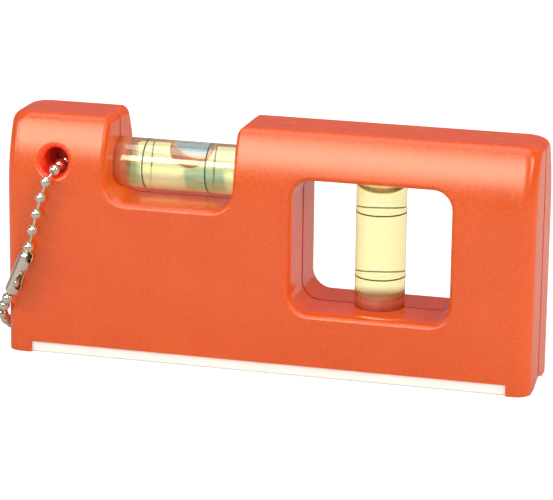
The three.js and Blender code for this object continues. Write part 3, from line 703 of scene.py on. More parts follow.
@dataclass(frozen=True)
class ClearAcrylic(Finish):
    """Clear acrylic, made hazy at the blind end with a painted orange glow of the plastic seat round it,
    darkened towards the seat with painted shade.
    """

    name: str = "acrylic_along"
    slot: Slot = Slot.ACRYLIC
    colour: Paint = (0.985, 0.99, 0.975, 1.0)
    dull_colour: Paint = (0.965, 0.975, 0.955, 1.0)
    dull_size: float = 3.0
    dull_span: Span = (0.45, 0.7)
    # Painted light: the orange glow and its cloud stand for light from the plastic seat, and the darker seat
    # colour is painted shade deep in the seat.
    seat_glow_colour: Paint = linear(212, 112, 62)
    seat_glow_cloud_colour: Paint = linear(220, 140, 88)
    cloud_size: float = 2.2
    cloud_span: Span = (0.35, 0.65)
    seat_shade_colour: Paint = linear(164, 66, 38)
    seat_glow_share: float = 0.66
    seat_glow_roughness: float = 0.5
    seat_glow_axis: str = "X"
    seat_glow_ends: Span = (-30.0, -30.8)
    seat_shade_ends: Span = (-31.6, -33.8)
    index: float = 1.49
    coat_index: float = 1.75
    coat_roughness: float = 0.03
    passed_colour: Colour = (0.96, 0.96, 0.95)

    def surface(self, graph: Graph) -> Socket:
        """Builds the acrylic's shader.

        Args:
            graph: Node tree that the shader is built in.

        Returns:
            The shader's output.
        """
        place = self.place(graph)
        along = graph.parts(place)[self.seat_glow_axis]
        coat = {"Coat Weight": 1.0, "Coat IOR": self.coat_index, "Coat Roughness": self.coat_roughness}
        dull = graph.noise(place, self.dull_size)
        clear = graph.shader("BsdfPrincipled", {
            "Base Color": graph.mottled(dull, self.colour, self.dull_colour, self.dull_span),
            "Roughness": 0.0,
            "IOR": self.index,
            "Transmission Weight": 1.0,
            **coat,
        })
        cloud = graph.noise(place, self.cloud_size)
        # Painted glow of the seat, darkened towards the seat with painted shade.
        seat_glow_tone = graph.mottled(cloud, self.seat_glow_colour, self.seat_glow_cloud_colour, self.cloud_span)
        seat_glow_shader = graph.shader("BsdfPrincipled", {
            "Base Color": graph.blend(graph.along(along, self.seat_shade_ends), seat_glow_tone, self.seat_shade_colour),
            "Roughness": self.seat_glow_roughness,
            **coat,
        })
        share = graph.along(along, self.seat_glow_ends, (0.0, self.seat_glow_share))
        return self.lit_through(graph, graph.mixed(share, clear, seat_glow_shader), self.passed_colour)


@dataclass(frozen=True)
class MattCover(Finish):
    """Matt surface with a slightly uneven colour."""

    name: str
    slot: Slot
    colour: Paint
    pale_colour: Paint
    pale_share: float
    pale_size: float
    pale_span: Span
    roughness: float

    def surface(self, graph: Graph) -> Socket:
        """Builds the cover's shader.

        Args:
            graph: Node tree that the shader is built in.

        Returns:
            The shader's output.
        """
        pale = graph.noise(self.place(graph), self.pale_size)
        return graph.shader("BsdfPrincipled", {
            "Base Color": graph.mottled(pale, self.colour, self.pale_colour, self.pale_span, self.pale_share),
            "Roughness": self.roughness,
        })


@dataclass(frozen=True)
class WettedWall(Finish):
    """Inner wall of a vial where the liquid wets it, so that it bends no light of its own."""

    name: str = "wetted_wall"
    slot: Slot = Slot.ACRYLIC

    def surface(self, graph: Graph) -> Socket:
        """Output of the wall's shader."""
        return graph.shader("BsdfTransparent")


@dataclass(frozen=True)
class TintedSpirit(Finish):
    """Pale yellow-green liquid, bounded by acrylic, that glows a little where light falls into it, with
    painted shadows as green pools low in the liquid.
    """

    name: str = "tinted_spirit"
    slot: Slot = Slot.LIQUID
    colour: Paint = (0.925, 0.91, 0.66, 1.0)
    glow_colour: Paint = (1.0, 0.95, 0.6, 1.0)
    pale_glow_colour: Paint = (0.97, 0.96, 0.68, 1.0)
    pale_size: float = 6.0
    pale_span: Span = (0.35, 0.65)
    glow: float = 0.1
    low_glow: float = 0.5
    low_glow_heights: Span = (38.2, 41.2)
    # Painted shadows: green pools low in the lying vial's liquid stand for the shadows of the bubble and the
    # left post.
    painted_shadow_colour: Paint = (0.52, 0.7, 0.53, 1.0)
    painted_shadow_glow_colour: Paint = linear(150, 196, 150)
    painted_shadows: tuple[Span, ...] = ((-32.0, -27.6), (-17.6, -8.5))
    painted_shadow_heights: Span = (38.0, 42.4)
    painted_shadow_depths: Span = (-6.0, -1.0)
    painted_shadow_edge: float = 0.4
    index_against_acrylic: float = 0.92

    def surface(self, graph: Graph) -> Socket:
        """Builds the shader of the liquid's boundary.

        Args:
            graph: Node tree that the shader is built in.

        Returns:
            The shader's output.
        """
        place = self.place(graph)
        parts = graph.parts(place)
        colour = self.colour
        pale = graph.noise(place, self.pale_size, 1.0)
        glow_colour = graph.mottled(pale, self.glow_colour, self.pale_glow_colour, self.pale_span)
        # Painted shadow: each pool darkens the liquid green where a shadow falls.
        for ends in self.painted_shadows:
            shadow_share = graph.band(parts["X"], ends, self.painted_shadow_edge)
            for axis, reach in (("Z", self.painted_shadow_heights), ("Y", self.painted_shadow_depths)):
                shadow_share = graph.maths("MULTIPLY", shadow_share, graph.band(parts[axis], reach, self.painted_shadow_edge))
            colour = graph.blend(shadow_share, colour, self.painted_shadow_colour)
            glow_colour = graph.blend(shadow_share, glow_colour, self.painted_shadow_glow_colour)
        clear = graph.glass(colour, self.index_against_acrylic)
        lit = graph.shader("BsdfDiffuse", {"Color": glow_colour})
        share = graph.along(parts["Z"], self.low_glow_heights, (self.low_glow, self.glow))
        return self.lit_through(graph, graph.mixed(share, clear, lit), self.colour[:3])


@dataclass(frozen=True)
class EnclosedAir(Finish):
    """Air in the liquid, tinted with a painted reflection of the sky above and a painted reflection of the
    plastic round its rim.
    """

    name: str = "enclosed_air"
    slot: Slot = Slot.AIR
    # Painted light: the bluish colour and the sky colour stand for a reflection of the sky, and the rim and
    # edge colours for a reflection of the orange plastic round the meniscus.
    colour: Paint = (0.84, 0.94, 1.3, 1.0)
    painted_sky_colour: Paint = (0.52, 0.7, 1.16, 1.0)
    painted_sky_heights: Span = (45.0, 45.5)
    painted_rim_colour: Paint = (1.0, 0.72, 0.54, 1.0)
    rim: Span = (0.42, 0.7)
    painted_edge_colour: Paint = (0.92, 0.42, 0.27, 1.0)
    edge: Span = (0.72, 0.84)
    crown: Point = (-16.75, 45.95)
    reach: Sizes = (5.03, 3.95)
    index_against_liquid: float = 0.735
    passed_colour: Colour = (0.7, 0.72, 0.75)

    def surface(self, graph: Graph) -> Socket:
        """Builds the shader of the bubble's boundary.

        Args:
            graph: Node tree that the shader is built in.

        Returns:
            The shader's output.
        """
        parts = graph.parts(self.place(graph))
        squares = []
        for axis, middle, reach in zip("XZ", self.crown, self.reach):
            before = graph.along(parts[axis], (middle, middle - reach))
            after = graph.along(parts[axis], (middle, middle + reach))
            squares.append(graph.maths("POWER", graph.maths("MAXIMUM", before, after), 2.0))
        out = graph.maths("ADD", *squares)
        # Painted reflections of the sky at the top and of the plastic round the rim.
        colour = graph.blend(graph.along(parts["Z"], self.painted_sky_heights), self.colour, self.painted_sky_colour)
        colour = graph.blend(graph.ranged(out, self.rim), colour, self.painted_rim_colour)
        colour = graph.blend(graph.ranged(out, self.edge), colour, self.painted_edge_colour)
        return self.lit_through(graph, graph.glass(colour, self.index_against_liquid), self.passed_colour)


PLASTIC = MouldedPlastic()
ALUMINIUM = HazedMetal(
    name="milled_aluminium", slot=Slot.RAIL, colour=linear(250, 249, 245), dull_colour=linear(214, 214, 210),
    dull_share=0.25, dull_size=0.12, dull_detail=2.0, dull_span=NOISE_SPAN, dull_stretch=40.0, metallic=0.1,
    roughness=(0.3, 0.42), relief_size=0.12, relief_strength=0.25, relief_depth=0.02)
NICKEL = HazedMetal(
    name="plated_nickel", slot=Slot.NICKEL, colour=linear(244, 233, 216), dull_colour=linear(222, 206, 180),
    dull_share=0.6, dull_size=1.1, dull_detail=3.0, dull_span=(0.35, 0.7), dull_stretch=1.0, metallic=0.92,
    roughness=(0.07, 0.15), relief_size=0.12, relief_strength=0.12, relief_depth=0.01)
ACRYLIC = ClearAcrylic()
# The upright tube's blind end carries the same painted glow and painted shade of its seat.
UPRIGHT_ACRYLIC = ClearAcrylic(
    name="acrylic_upright", seat_glow_colour=linear(196, 100, 74), seat_glow_cloud_colour=linear(206, 126, 96),
    seat_shade_colour=linear(160, 54, 40), seat_glow_share=0.8, seat_glow_axis="Z", seat_glow_ends=(17.8, 16.2),
    seat_shade_ends=(16.0, 14.3), coat_index=1.2)
# Painted glow: the sawn end face of the tube is painted orange with the light of the plastic seat seen
# through it.
SAWN_SEAT_GLOW = MattCover(
    name="sawn_acrylic_seat_glow", slot=Slot.ACRYLIC, colour=linear(233, 128, 88), pale_colour=linear(238, 160, 122),
    pale_share=0.3, pale_size=0.6, pale_span=NOISE_SPAN, roughness=0.7)
INK = MattCover(
    name="printed_ink", slot=Slot.INK, colour=linear(62, 58, 28), pale_colour=linear(96, 92, 44),
    pale_share=0.5, pale_size=0.8, pale_span=(0.4, 0.8), roughness=0.6)
WETTED = WettedWall()
SPIRIT = TintedSpirit()
UPRIGHT_SPIRIT = TintedSpirit(name="tinted_spirit_upright", low_glow=0.1, painted_shadows=())
AIR = EnclosedAir()
# The upright bubble is tinted with painted light too: yellow from the liquid round it, and painted shade at
# its rim and edge.
UPRIGHT_AIR = EnclosedAir(
    name="enclosed_air_upright", colour=(0.99, 0.96, 0.74, 1.0), painted_sky_colour=(0.99, 0.96, 0.74, 1.0),
    painted_rim_colour=(0.93, 0.88, 0.6, 1.0), painted_edge_colour=(0.84, 0.78, 0.46, 1.0),
    crown=(24.86, 43.9), reach=(4.15, 4.7), rim=(0.4, 0.7), edge=(0.75, 0.95))


def finished(
    solid: Solid,
    finishes: Sequence[Finish],
    body: Body,
    nodes: Sequence[str],
    smooth_angle: float = 30.0,
    weighted: bool = False,
) -> bpy.types.Object:
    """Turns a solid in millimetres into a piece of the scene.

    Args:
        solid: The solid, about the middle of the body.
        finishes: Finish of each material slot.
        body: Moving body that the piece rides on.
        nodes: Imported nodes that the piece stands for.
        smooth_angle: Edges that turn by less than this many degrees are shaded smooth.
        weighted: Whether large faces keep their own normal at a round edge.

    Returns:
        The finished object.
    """
    thing = solid.thing
    mesh = thing.data
    shape = bmesh.new()
    shape.from_mesh(mesh)
    bmesh.ops.remove_doubles(shape, verts=shape.verts, dist=MERGE_DISTANCE)
    bmesh.ops.dissolve_degenerate(shape, edges=shape.edges, dist=MERGE_DISTANCE)
    shape.to_mesh(mesh)
    shape.free()
    mesh.transform(Matrix.Scale(MILLIMETRE, 4) @ Matrix.Translation((BODY_MIDDLE_X, 0, 0)))
    numbers = [min(polygon.material_index, len(finishes) - 1) for polygon in mesh.polygons]
    mesh.materials.clear()
    for finish in finishes:
        mesh.materials.append(finish.material())
    mesh.polygons.foreach_set("material_index", numbers)
    mesh.polygons.foreach_set("use_smooth", [True] * len(mesh.polygons))
    mesh.set_sharp_from_angle(angle=math.radians(smooth_angle))
    if weighted:
        modifier = thing.modifiers.new("weighted", "WEIGHTED_NORMAL")
        modifier.keep_sharp = True
        modifier.weight = 100
        solid.settle()
    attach(thing, body.value)
    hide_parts(*nodes)
    LOG.info("%s: %d faces on %s, for %d nodes", thing.name, len(thing.data.polygons), body.value, len(nodes))
    return thing


@dataclass
class MouldedBody:
    """Two moulded half shells, closed over the rail and the vials."""

    half_length: float = 58.0
    height: float = 52.8
    half_thickness: float = 11.4
    shoulder_height: float = 15.8
    shoulder_depth: float = 4.6
    end_fillet: float = 3.3
    top_end_round: float = 2.4
    top_edge_round: float = 1.2
    wall: float = 2.2
    slab_top: float = 9.2
    seat_gap: float = 0.06
    seat_cover: float = 0.24
    pin_gap: float = 0.3
    notch: Sizes = (-35.4, -7.185, 35.2)
    notch_corner: float = 4.6
    notch_mouth: float = 2.2
    window: Sizes = (5.815, 14.2, 40.3, 42.8)
    window_corner: float = 4.2
    lip: Sizes = (1.35, 2.1)
    hole: Sizes = (-46.9, 42.9, 2.9)
    hole_lip: Sizes = (1.5, 1.7)
    lip_start: float = 0.012
    rail: Span = (-52.2, 53.0)
    rail_height: float = 2.4
    web: Sizes = (1.0, 2.4, 3.2, 1.3)
    groove: Sizes = (5.1, 1.4)
    parting: Sizes = (0.22, 0.6)
    opening_parting: Sizes = (0.34, 0.7)
    parting_floor: float = 0.35
    parting_lift: float = 0.02
    vial_radius: float = 5.45
    horizontal_vial: Sizes = (-37.7, 0.315, 41.6)
    plumb_vial: Sizes = (10.5, 48.5, 23.0575)
    boss_radius: float = 3.4
    bosses: tuple[Point, ...] = ((-46.9, 19.008), (-21.2925, 19.008), (49.15, 19.008), (49.15, 40.128))
    ribs: tuple[float, ...] = (-36.303, -15.882)
    rib_thickness: float = 1.4
    pin_radius: float = 1.3
    pin_reach: float = 4.5
    corner_steps: int = 12
    side_steps: int = 8
    lip_steps: int = 9
    shoulder_steps: int = 26
    hole_facets: int = 64
    bore_facets: int = 96
    boss_facets: int = 24

    @property
    def shoulder_radius(self) -> float:
        """Radius of the curved shoulder."""
        return (self.shoulder_height**2 + self.shoulder_depth**2) / (2 * self.shoulder_depth)

    def half_thickness_at(self, z: float) -> float:
        """Half thickness of the body at a height, before its top edge is rounded."""
        rise = min(max(z - self.height + self.shoulder_height, 0), self.shoulder_height)
        return self.half_thickness - self.shoulder_radius + math.sqrt(self.shoulder_radius**2 - rise**2)

    def round_inset(self, z: float, radius: float) -> float:
        """How far a round at the top draws a side in, at a height."""
        rise = min(max(z - self.height + radius, 0), radius)
        return radius - math.sqrt(radius**2 - rise**2)

    def form(self, name: str, inset: float, floor: float) -> Solid:
        """Body form drawn in by an inset.

        Args:
            name: Name of the solid.
            inset: Distance that every side is drawn in.
            floor: Height that the form starts at.

        Returns:
            The closed form.
        """
        start = self.height - self.shoulder_height
        end = self.height - self.top_end_round
        shoulder = [start + (end - start) * i / self.shoulder_steps for i in range(self.shoulder_steps)]
        crown = [z for _, z in arc((0, end), self.top_end_round, 0, 90, self.corner_steps)]
        radius = max(self.end_fillet - inset, self.end_fillet / 4)
        rings = []
        for z in [floor, *shoulder, *crown]:
            half_length = self.half_length - self.round_inset(z, self.top_end_round) - inset
            half_thickness = self.half_thickness_at(z) - self.round_inset(z, self.top_edge_round) - inset
            outline = rounded_rectangle(
                (-half_length, -half_thickness), (half_length, half_thickness), radius, self.corner_steps)
            top = min(z, self.height - inset - (self.height - z) * inset / self.height)
            rings.append(np.array([(x, y, top) for x, y in outline]))
        return Solid.loft(name, rings)

    def lipped(self, name: str, outline: Outline, lip: Sizes) -> Solid:
        """Through cutter that leaves a round lip on the front and rear faces.

        Args:
            name: Name of the solid.
            outline: Outline of the opening in X and Z, grown by an offset.
            lip: Width of the lip on the face, and its depth into the opening.

        Returns:
            The closed cutter.
        """
        angles = np.linspace(0, math.pi / 2, self.lip_steps + 1)
        steps = [(lip[0] * (1 - math.sin(a)), lip[1] * (1 - math.cos(a)) - self.lip_start) for a in angles]
        rings = []
        for side in (-1, 1):
            rows = [upright(outline(lip[0]), side * (self.half_thickness + CUT_OVERRUN))]
            for offset, depth in steps:
                rows.append(np.array([
                    (x, side * (self.half_thickness_at(z) - depth), z) for x, z in outline(offset)]))
            rings += rows[::-side]
        return Solid.loft(name, rings)

    def notch_outline(self, offset: float) -> list[Point]:
        """Outline of the notch, grown by an offset that fades out at its round mouth.

        Args:
            offset: Distance that the notch is grown by.

        Returns:
            Points in X and Z.
        """
        left, right, floor = self.notch
        steps, corner = self.corner_steps, self.notch_corner
        curve = arc((0, self.height - self.notch_mouth), self.notch_mouth, 90, 0, steps)
        mouth = [(x - self.notch_mouth - offset * i / steps, z) for i, (x, z) in enumerate(curve)]
        low_left = arc((left + corner, floor + corner), corner + offset, 180, 270, steps)
        low_right = arc((right - corner, floor + corner), corner + offset, 270, 360, steps)
        going_down = [(left + x, z) for x, z in mouth]
        going_up = [(right - x, z) for x, z in mouth[::-1]]
        above = self.height + CUT_OVERRUN
        return [
            (left - self.notch_mouth, above),
            *going_down, *straight(going_down[-1], low_left[0], self.side_steps), *low_left,
            *low_right, *straight(low_right[-1], going_up[0], self.side_steps), *going_up,
            (right + self.notch_mouth, above),
        ]

    def window_outline(self, offset: float) -> list[Point]:
        """Outline of the window, grown by an offset.

        Args:
            offset: Distance that the window is grown by.

        Returns:
            Points in X and Z.
        """
        left, floor, right, top = self.window
        return rounded_rectangle(
            (left - offset, floor - offset), (right + offset, top + offset),
            self.window_corner + offset, self.corner_steps, self.side_steps)

    def hole_outline(self, offset: float) -> list[Point]:
        """Outline of the keyring hole, grown by an offset."""
        x, z, radius = self.hole
        return circle((x, z), radius + offset, self.hole_facets)

    def groove_section(self, size: Sizes) -> list[Point]:
        """Section of a parting groove.

        Args:
            size: Half width of the groove on the surface, and its depth.

        Returns:
            Station across the groove and depth at each point.
        """
        width, depth = size
        floor = width * self.parting_floor
        return [(-width, -self.parting_lift), (-floor, depth), (floor, depth), (width, -self.parting_lift)]

    def parting_groove(self) -> list[Solid]:
        """Cutters for the fine groove along the parting line, outside and in both openings.

        Returns:
            The cutter round the body, then those in the notch and the window.
        """
        turn = self.top_end_round
        core_rings = []
        for y, cut in self.groove_section(self.parting):
            half, top = self.half_length - cut, self.height - cut
            outline = [
                (half, -CUT_OVERRUN * 2),
                *arc((half - turn, top - turn), turn, 0, 90, self.corner_steps),
                *arc((-half + turn, top - turn), turn, 90, 180, self.corner_steps),
                (-half, -CUT_OVERRUN * 2),
            ]
            core_rings.append(upright(outline, y))
        wide, width, tall = self.half_length + CUT_OVERRUN, self.parting[0], self.height + CUT_OVERRUN
        outside = Solid.box("parting_outside", (-wide, -width, -CUT_OVERRUN), (wide, width, tall))
        outside.combine(Operation.CUT, [Solid.loft("parting_core", core_rings)])
        inner = []
        for name, outline in (("notch", self.notch_outline), ("window", self.window_outline)):
            rings = [upright(outline(cut), y) for y, cut in self.groove_section(self.opening_parting)]
            inner.append(Solid.loft(f"parting_{name}", rings))
        return [outside, *inner]

    def rail_bed(self) -> Solid:
        """Room for the rail and its web.

        Returns:
            The closed cutter.
        """
        gap = self.seat_gap
        web, head, rise, thick = self.web
        bed = self.rail_height + gap
        neck = self.rail_height + rise - gap
        deep = self.half_thickness + CUT_OVERRUN
        right = [
            (deep, -CUT_OVERRUN), (deep, bed), (web + gap, bed), (web + gap, neck), (head + gap, neck),
            (head + gap, self.rail_height + rise + thick + gap),
        ]
        left = [(-y, z) for y, z in right[::-1]]
        return Solid.prism("rail_bed", 0, right + left, self.rail[0] - gap, self.rail[1] + gap)

    def groove_cutter(self) -> Solid:
        """Cutter for the V groove along the base.

        Returns:
            The closed cutter.
        """
        half, depth = self.groove
        run, low = half + CUT_OVERRUN, -CUT_OVERRUN * depth / half
        wide = self.half_length + CUT_OVERRUN
        return Solid.prism("groove", 0, [(0, depth), (-run, low), (run, low)], -wide, wide)

    def bore(self, name: str, axis: int, middle: Point, ends: Span) -> Solid:
        """Seat bore of a vial.

        Args:
            name: Name of the solid.
            axis: Number of the axis that the vial lies along.
            middle: Middle of the vial on the two other axes.
            ends: Start and end of the vial.

        Returns:
            The closed cutter.
        """
        outline = circle(middle, self.vial_radius + self.seat_gap, self.bore_facets)
        return Solid.prism(name, axis, outline, ends[0] - self.seat_gap, ends[1] + self.seat_gap)

    def hollow(self) -> Solid:
        """Room inside the walls, less the frames, seats, bosses and ribs that stay solid.

        Returns:
            The closed cutter.
        """
        deep = self.half_thickness
        left, right, floor = self.notch
        keep = self.seat_gap + self.wall + self.seat_cover
        seat = self.vial_radius + keep
        half = self.rib_thickness / 2
        mouth = self.height - self.notch_mouth
        middle = (left + right) / 2
        around = [
            (x + math.copysign(self.wall, x - middle), z - self.wall if z < mouth else z)
            for x, z in self.notch_outline(0)
        ]
        start, end, axis_z = self.horizontal_vial
        _, high, axis_x = self.plumb_vial
        sill, lintel = self.window[1], self.window[3]
        frames = [
            Solid.prism("notch_frame", 1, around, -deep, deep),
            Solid.prism("window_frame", 1, self.window_outline(self.wall), -deep, deep),
            Solid.prism("hole_frame", 1, self.hole_outline(self.wall), -deep, deep),
            Solid.box("left_seat", (start - keep, -deep, axis_z - seat), (left, deep, self.height)),
            Solid.box("right_seat", (right, -deep, axis_z - seat), (end + keep, deep, self.height)),
            Solid.box("low_seat", (axis_x - seat, -deep, 0), (axis_x + seat, deep, sill)),
            Solid.box("high_seat", (axis_x - seat, -deep, lintel), (axis_x + seat, deep, high + self.wall)),
        ]
        for place in self.bosses:
            outline = circle(place, self.boss_radius, self.boss_facets)
            frames.append(Solid.prism("boss", 1, outline, -deep, deep))
        for x in self.ribs:
            frames.append(Solid.box("rib", (x - half, -deep, 0), (x + half, deep, floor)))
        return self.form("hollow", self.wall, self.slab_top).combine(Operation.CUT, frames)

    def pins(self, grow: float, low: float) -> list[Solid]:
        """Locating pins, or the sockets that take them."""
        outlines = [circle(place, self.pin_radius + grow, self.boss_facets) for place in self.bosses]
        return [Solid.prism("pin", 1, outline, low, self.pin_reach + grow) for outline in outlines]

    def build(self) -> list[bpy.types.Object]:
        """Builds both shells.

        Returns:
            The front shell and the rear shell.
        """
        start, end, axis_z = self.horizontal_vial
        low, high, axis_x = self.plumb_vial
        cutters = [
            self.hollow(),
            *self.parting_groove(),
            self.lipped("notch", self.notch_outline, self.lip),
            self.lipped("window", self.window_outline, self.lip),
            self.lipped("hole", self.hole_outline, self.hole_lip),
            self.bore("horizontal_bore", 0, (0.0, axis_z), (start, end)),
            self.bore("plumb_bore", 2, (axis_x, 0.0), (low, high)),
            self.groove_cutter(),
            self.rail_bed(),
        ]
        front = self.form("moulded_front_shell", 0, 0).combine(Operation.CUT, cutters)
        rear = front.copy("moulded_rear_shell")
        wide, deep = self.half_length + CUT_OVERRUN, self.half_thickness + CUT_OVERRUN
        tall = self.height + CUT_OVERRUN
        front_room = Solid.box("front_room", (-wide, -deep, -CUT_OVERRUN), (wide, 0, tall))
        rear_room = Solid.box("rear_room", (-wide, 0, -CUT_OVERRUN), (wide, deep, tall))
        front.combine(Operation.KEEP, [front_room]).combine(Operation.JOIN, self.pins(0, -self.pin_reach / 2))
        rear.combine(Operation.KEEP, [rear_room])
        rear.combine(Operation.CUT, self.pins(self.pin_gap, -CUT_OVERRUN))
        return [
            finished(front, [PLASTIC], Body.LEVEL, ["front_shell"], weighted=True),
            finished(rear, [PLASTIC], Body.LEVEL, ["rear_shell"], weighted=True),
        ]


@dataclass
class BaseRail:
    """Aluminium base rail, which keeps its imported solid."""

    node: str = "base_rail"

    def build(self) -> list[bpy.types.Object]:
        """Dresses the rail's solid.

        Returns:
            The rail.
        """
        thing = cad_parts[self.node]
        thing.data.materials.clear()
        thing.data.materials.append(ALUMINIUM.material())
        LOG.info("%s: dressed", thing.name)
        return [thing]


class Lie(Enum):
    """How a vial lies in the body."""

    ALONG = "horizontal"
    UPRIGHT = "plumb"


@dataclass
class Vial:
    """Acrylic vial with its plug, marker lines, liquid and bubble."""

    lie: Lie
    start: Place
    length: float
    first_mark: float
    radius: float = 5.45
    edge: float = 0.4
    solid_end: float = 5.5
    plug_length: float = 4.5
    plug_gap: float = 0.1
    chamber: Sizes = (4.35, 4.3)
    chamber_round: float = 1.9
    liquid_gap: float = 0.02
    mark_spacing: float = 14.1
    mark_width: float = 0.3
    mark_thickness: float = 0.02
    mark_gap: float = 0.01
    bubble_place: float = 19.15
    bubble_size: Sizes = (10.06, 24.0, 3.95)
    bubble_end_shape: float = 1.2
    bubble_gap: float = 0.1
    plumb_bubble_height: float = 4.7
    plumb_bubble_gap: float = 0.15
    facets: int = 160
    round_steps: int = 12
    edge_steps: int = 6
    barrel_steps: int = 24
    lens_steps: int = 28
    cap_steps: int = 20

    @property
    def lying(self) -> bool:
        """Whether the vial lies along the body."""
        return self.lie is Lie.ALONG

    @property
    def place(self) -> Matrix:
        """Matrix from the vial's own axis, which is Z, to its place in the body."""
        along = Matrix(((0, 0, 1, 0), (1, 0, 0, 0), (0, 1, 0, 0), (0, 0, 0, 1)))
        return Matrix.Translation(self.start) @ (along if self.lying else Matrix.Identity(4))

    @property
    def acrylic(self) -> ClearAcrylic:
        """Finish of the tube and the plug."""
        return ACRYLIC if self.lying else UPRIGHT_ACRYLIC

    def node(self, name: str) -> str:
        """Name of one of the vial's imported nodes."""
        return f"{self.lie.value}_{name}"

    def turned(self, name: str, profile: Sequence[Point], slots: Sequence[int] = ()) -> Solid:
        """Turned solid of the vial, in its place in the body."""
        return Solid.turned(self.node(name), profile, self.facets, slots).moved(self.place)

    def chamber_profile(self, gap: float) -> list[Point]:
        """Chamber profile from its blind end to its plug.

        Args:
            gap: Distance that the profile is drawn in by.

        Returns:
            Radius and station of each point. The first lies on the axis.
        """
        middle, end = self.chamber
        low, high = self.solid_end + gap, self.length - self.plug_length - gap
        span = self.length - self.plug_length - self.solid_end
        turn = self.chamber_round - gap
        profile = [(0.0, low)]
        profile += arc((end - self.chamber_round, low + turn), turn, -90, 0, self.round_steps)[:-1]
        for i in range(self.barrel_steps + 1):
            along = self.chamber_round + (span - self.chamber_round) * i / self.barrel_steps
            bulge = (middle - end) * (1 - (2 * along / span - 1) ** 2)
            profile.append((end + bulge - gap, min(self.solid_end + along, high)))
        return profile

    def closed_chamber(self, gap: float) -> list[Point]:
        """Chamber profile that ends on the axis too."""
        profile = self.chamber_profile(gap)
        return [*profile, (0.0, profile[-1][1])]

    def tube(self) -> bpy.types.Object:
        """Builds the tube with its chamber, whose wetted wall is a slot of its own.

        Returns:
            The finished tube.
        """
        outer = [
            (0.0, 0.0), (self.radius - self.edge, 0.0),
            *arc((self.radius - self.edge, self.edge), self.edge, -90, 0, self.edge_steps)[1:],
            (self.radius, self.length), (self.chamber[1], self.length),
        ]
        inner = self.chamber_profile(0)[::-1]
        # Slot 2 is the sawn end face with its painted orange glow of the seat.
        slots = [2] + [0] * (len(outer) - 1) + [1] * (len(inner) - 1)
        solid = self.turned("tube", outer + inner, slots)
        return finished(solid, [self.acrylic, WETTED, SAWN_SEAT_GLOW], Body.LEVEL, [self.node("vial_tube")])

    def plug(self) -> bpy.types.Object:
        """Builds the plug in the tube's open end.

        Returns:
            The finished plug.
        """
        radius = self.chamber[1] - self.plug_gap
        start = self.length - self.plug_length + self.plug_gap
        profile = [(0.0, start), (radius, start), (radius, self.length), (0.0, self.length)]
        return finished(self.turned("plug", profile), [self.acrylic], Body.LEVEL, [self.node("vial_plug")])

    def mark(self, number: int) -> bpy.types.Object:
        """Builds one of the marker lines round the tube.

        Args:
            number: Number of the line, from one.

        Returns:
            The finished line.
        """
        inner = self.radius + self.mark_gap
        outer = inner + self.mark_thickness
        low = self.first_mark + (number - 1) * self.mark_spacing - self.mark_width / 2
        high = low + self.mark_width
        profile = [(inner, low), (outer, low), (outer, high), (inner, high), (inner, low)]
        solid = self.turned(f"line_{number}", profile)
        return finished(solid, [INK], Body.LEVEL, [self.node(f"mark_{number}")])

    def liquid(self) -> bpy.types.Object:
        """Builds the liquid that fills the chamber.

        Returns:
            The finished liquid.
        """
        solid = self.turned("spirit", self.closed_chamber(self.liquid_gap))
        return finished(solid, [SPIRIT if self.lying else UPRIGHT_SPIRIT], Body.LEVEL, [self.node("liquid")])

    def lens(self) -> Solid:
        """Bubble of the lying vial: a flat-bottomed lens under the chamber's crown.

        Returns:
            The closed bubble about the vial's own axis.
        """
        length, width, depth = self.bubble_size
        half = length / 2
        turns = np.linspace(0, math.pi / 2, self.lens_steps + 1)[:-1]
        flanks = [(half * math.sin(a), -depth * math.cos(a) ** self.bubble_end_shape) for a in turns]
        profile = [*flanks, (half, 0.0), (half, depth), (0.0, depth)]
        solid = Solid.turned(self.node("air"), profile, self.facets)
        solid.moved(Matrix.Translation((0, self.chamber[0], self.bubble_place))
                    @ Matrix.Rotation(-math.pi / 2, 4, "X")
                    @ Matrix.Diagonal((width / length, 1, 1, 1)))
        trim = Solid.turned("chamber_trim", self.closed_chamber(self.bubble_gap), self.facets)
        return solid.combine(Operation.KEEP, [trim])

    def cap(self) -> Solid:
        """Bubble of the upright vial: a cap under the plug with a round lower end.

        Returns:
            The closed bubble about the vial's own axis.
        """
        radius = self.chamber[1] - self.plumb_bubble_gap
        top = self.length - self.plug_length - self.bubble_gap
        meniscus = self.plumb_bubble_height / 2
        low = top - self.plumb_bubble_height
        turned = arc((0, 0), 1, -90, 0, self.cap_steps)[1:]
        round_end = [(r * radius, low + meniscus + h * meniscus) for r, h in turned]
        profile = [(0.0, low), *round_end, (radius, top), (0.0, top)]
        return Solid.turned(self.node("air"), profile, self.facets)

    def bubble(self) -> bpy.types.Object:
        """Builds the air bubble, which slides along the vial.

        Returns:
            The finished bubble.
        """
        solid = (self.lens() if self.lying else self.cap()).moved(self.place)
        body = Body.HORIZONTAL_BUBBLE if self.lying else Body.PLUMB_BUBBLE
        return finished(solid, [AIR if self.lying else UPRIGHT_AIR], body, [self.node("bubble")])

    def build(self) -> list[bpy.types.Object]:
        """Builds every piece of the vial."""
        return [self.tube(), self.plug(), self.mark(1), self.mark(2), self.liquid(), self.bubble()]


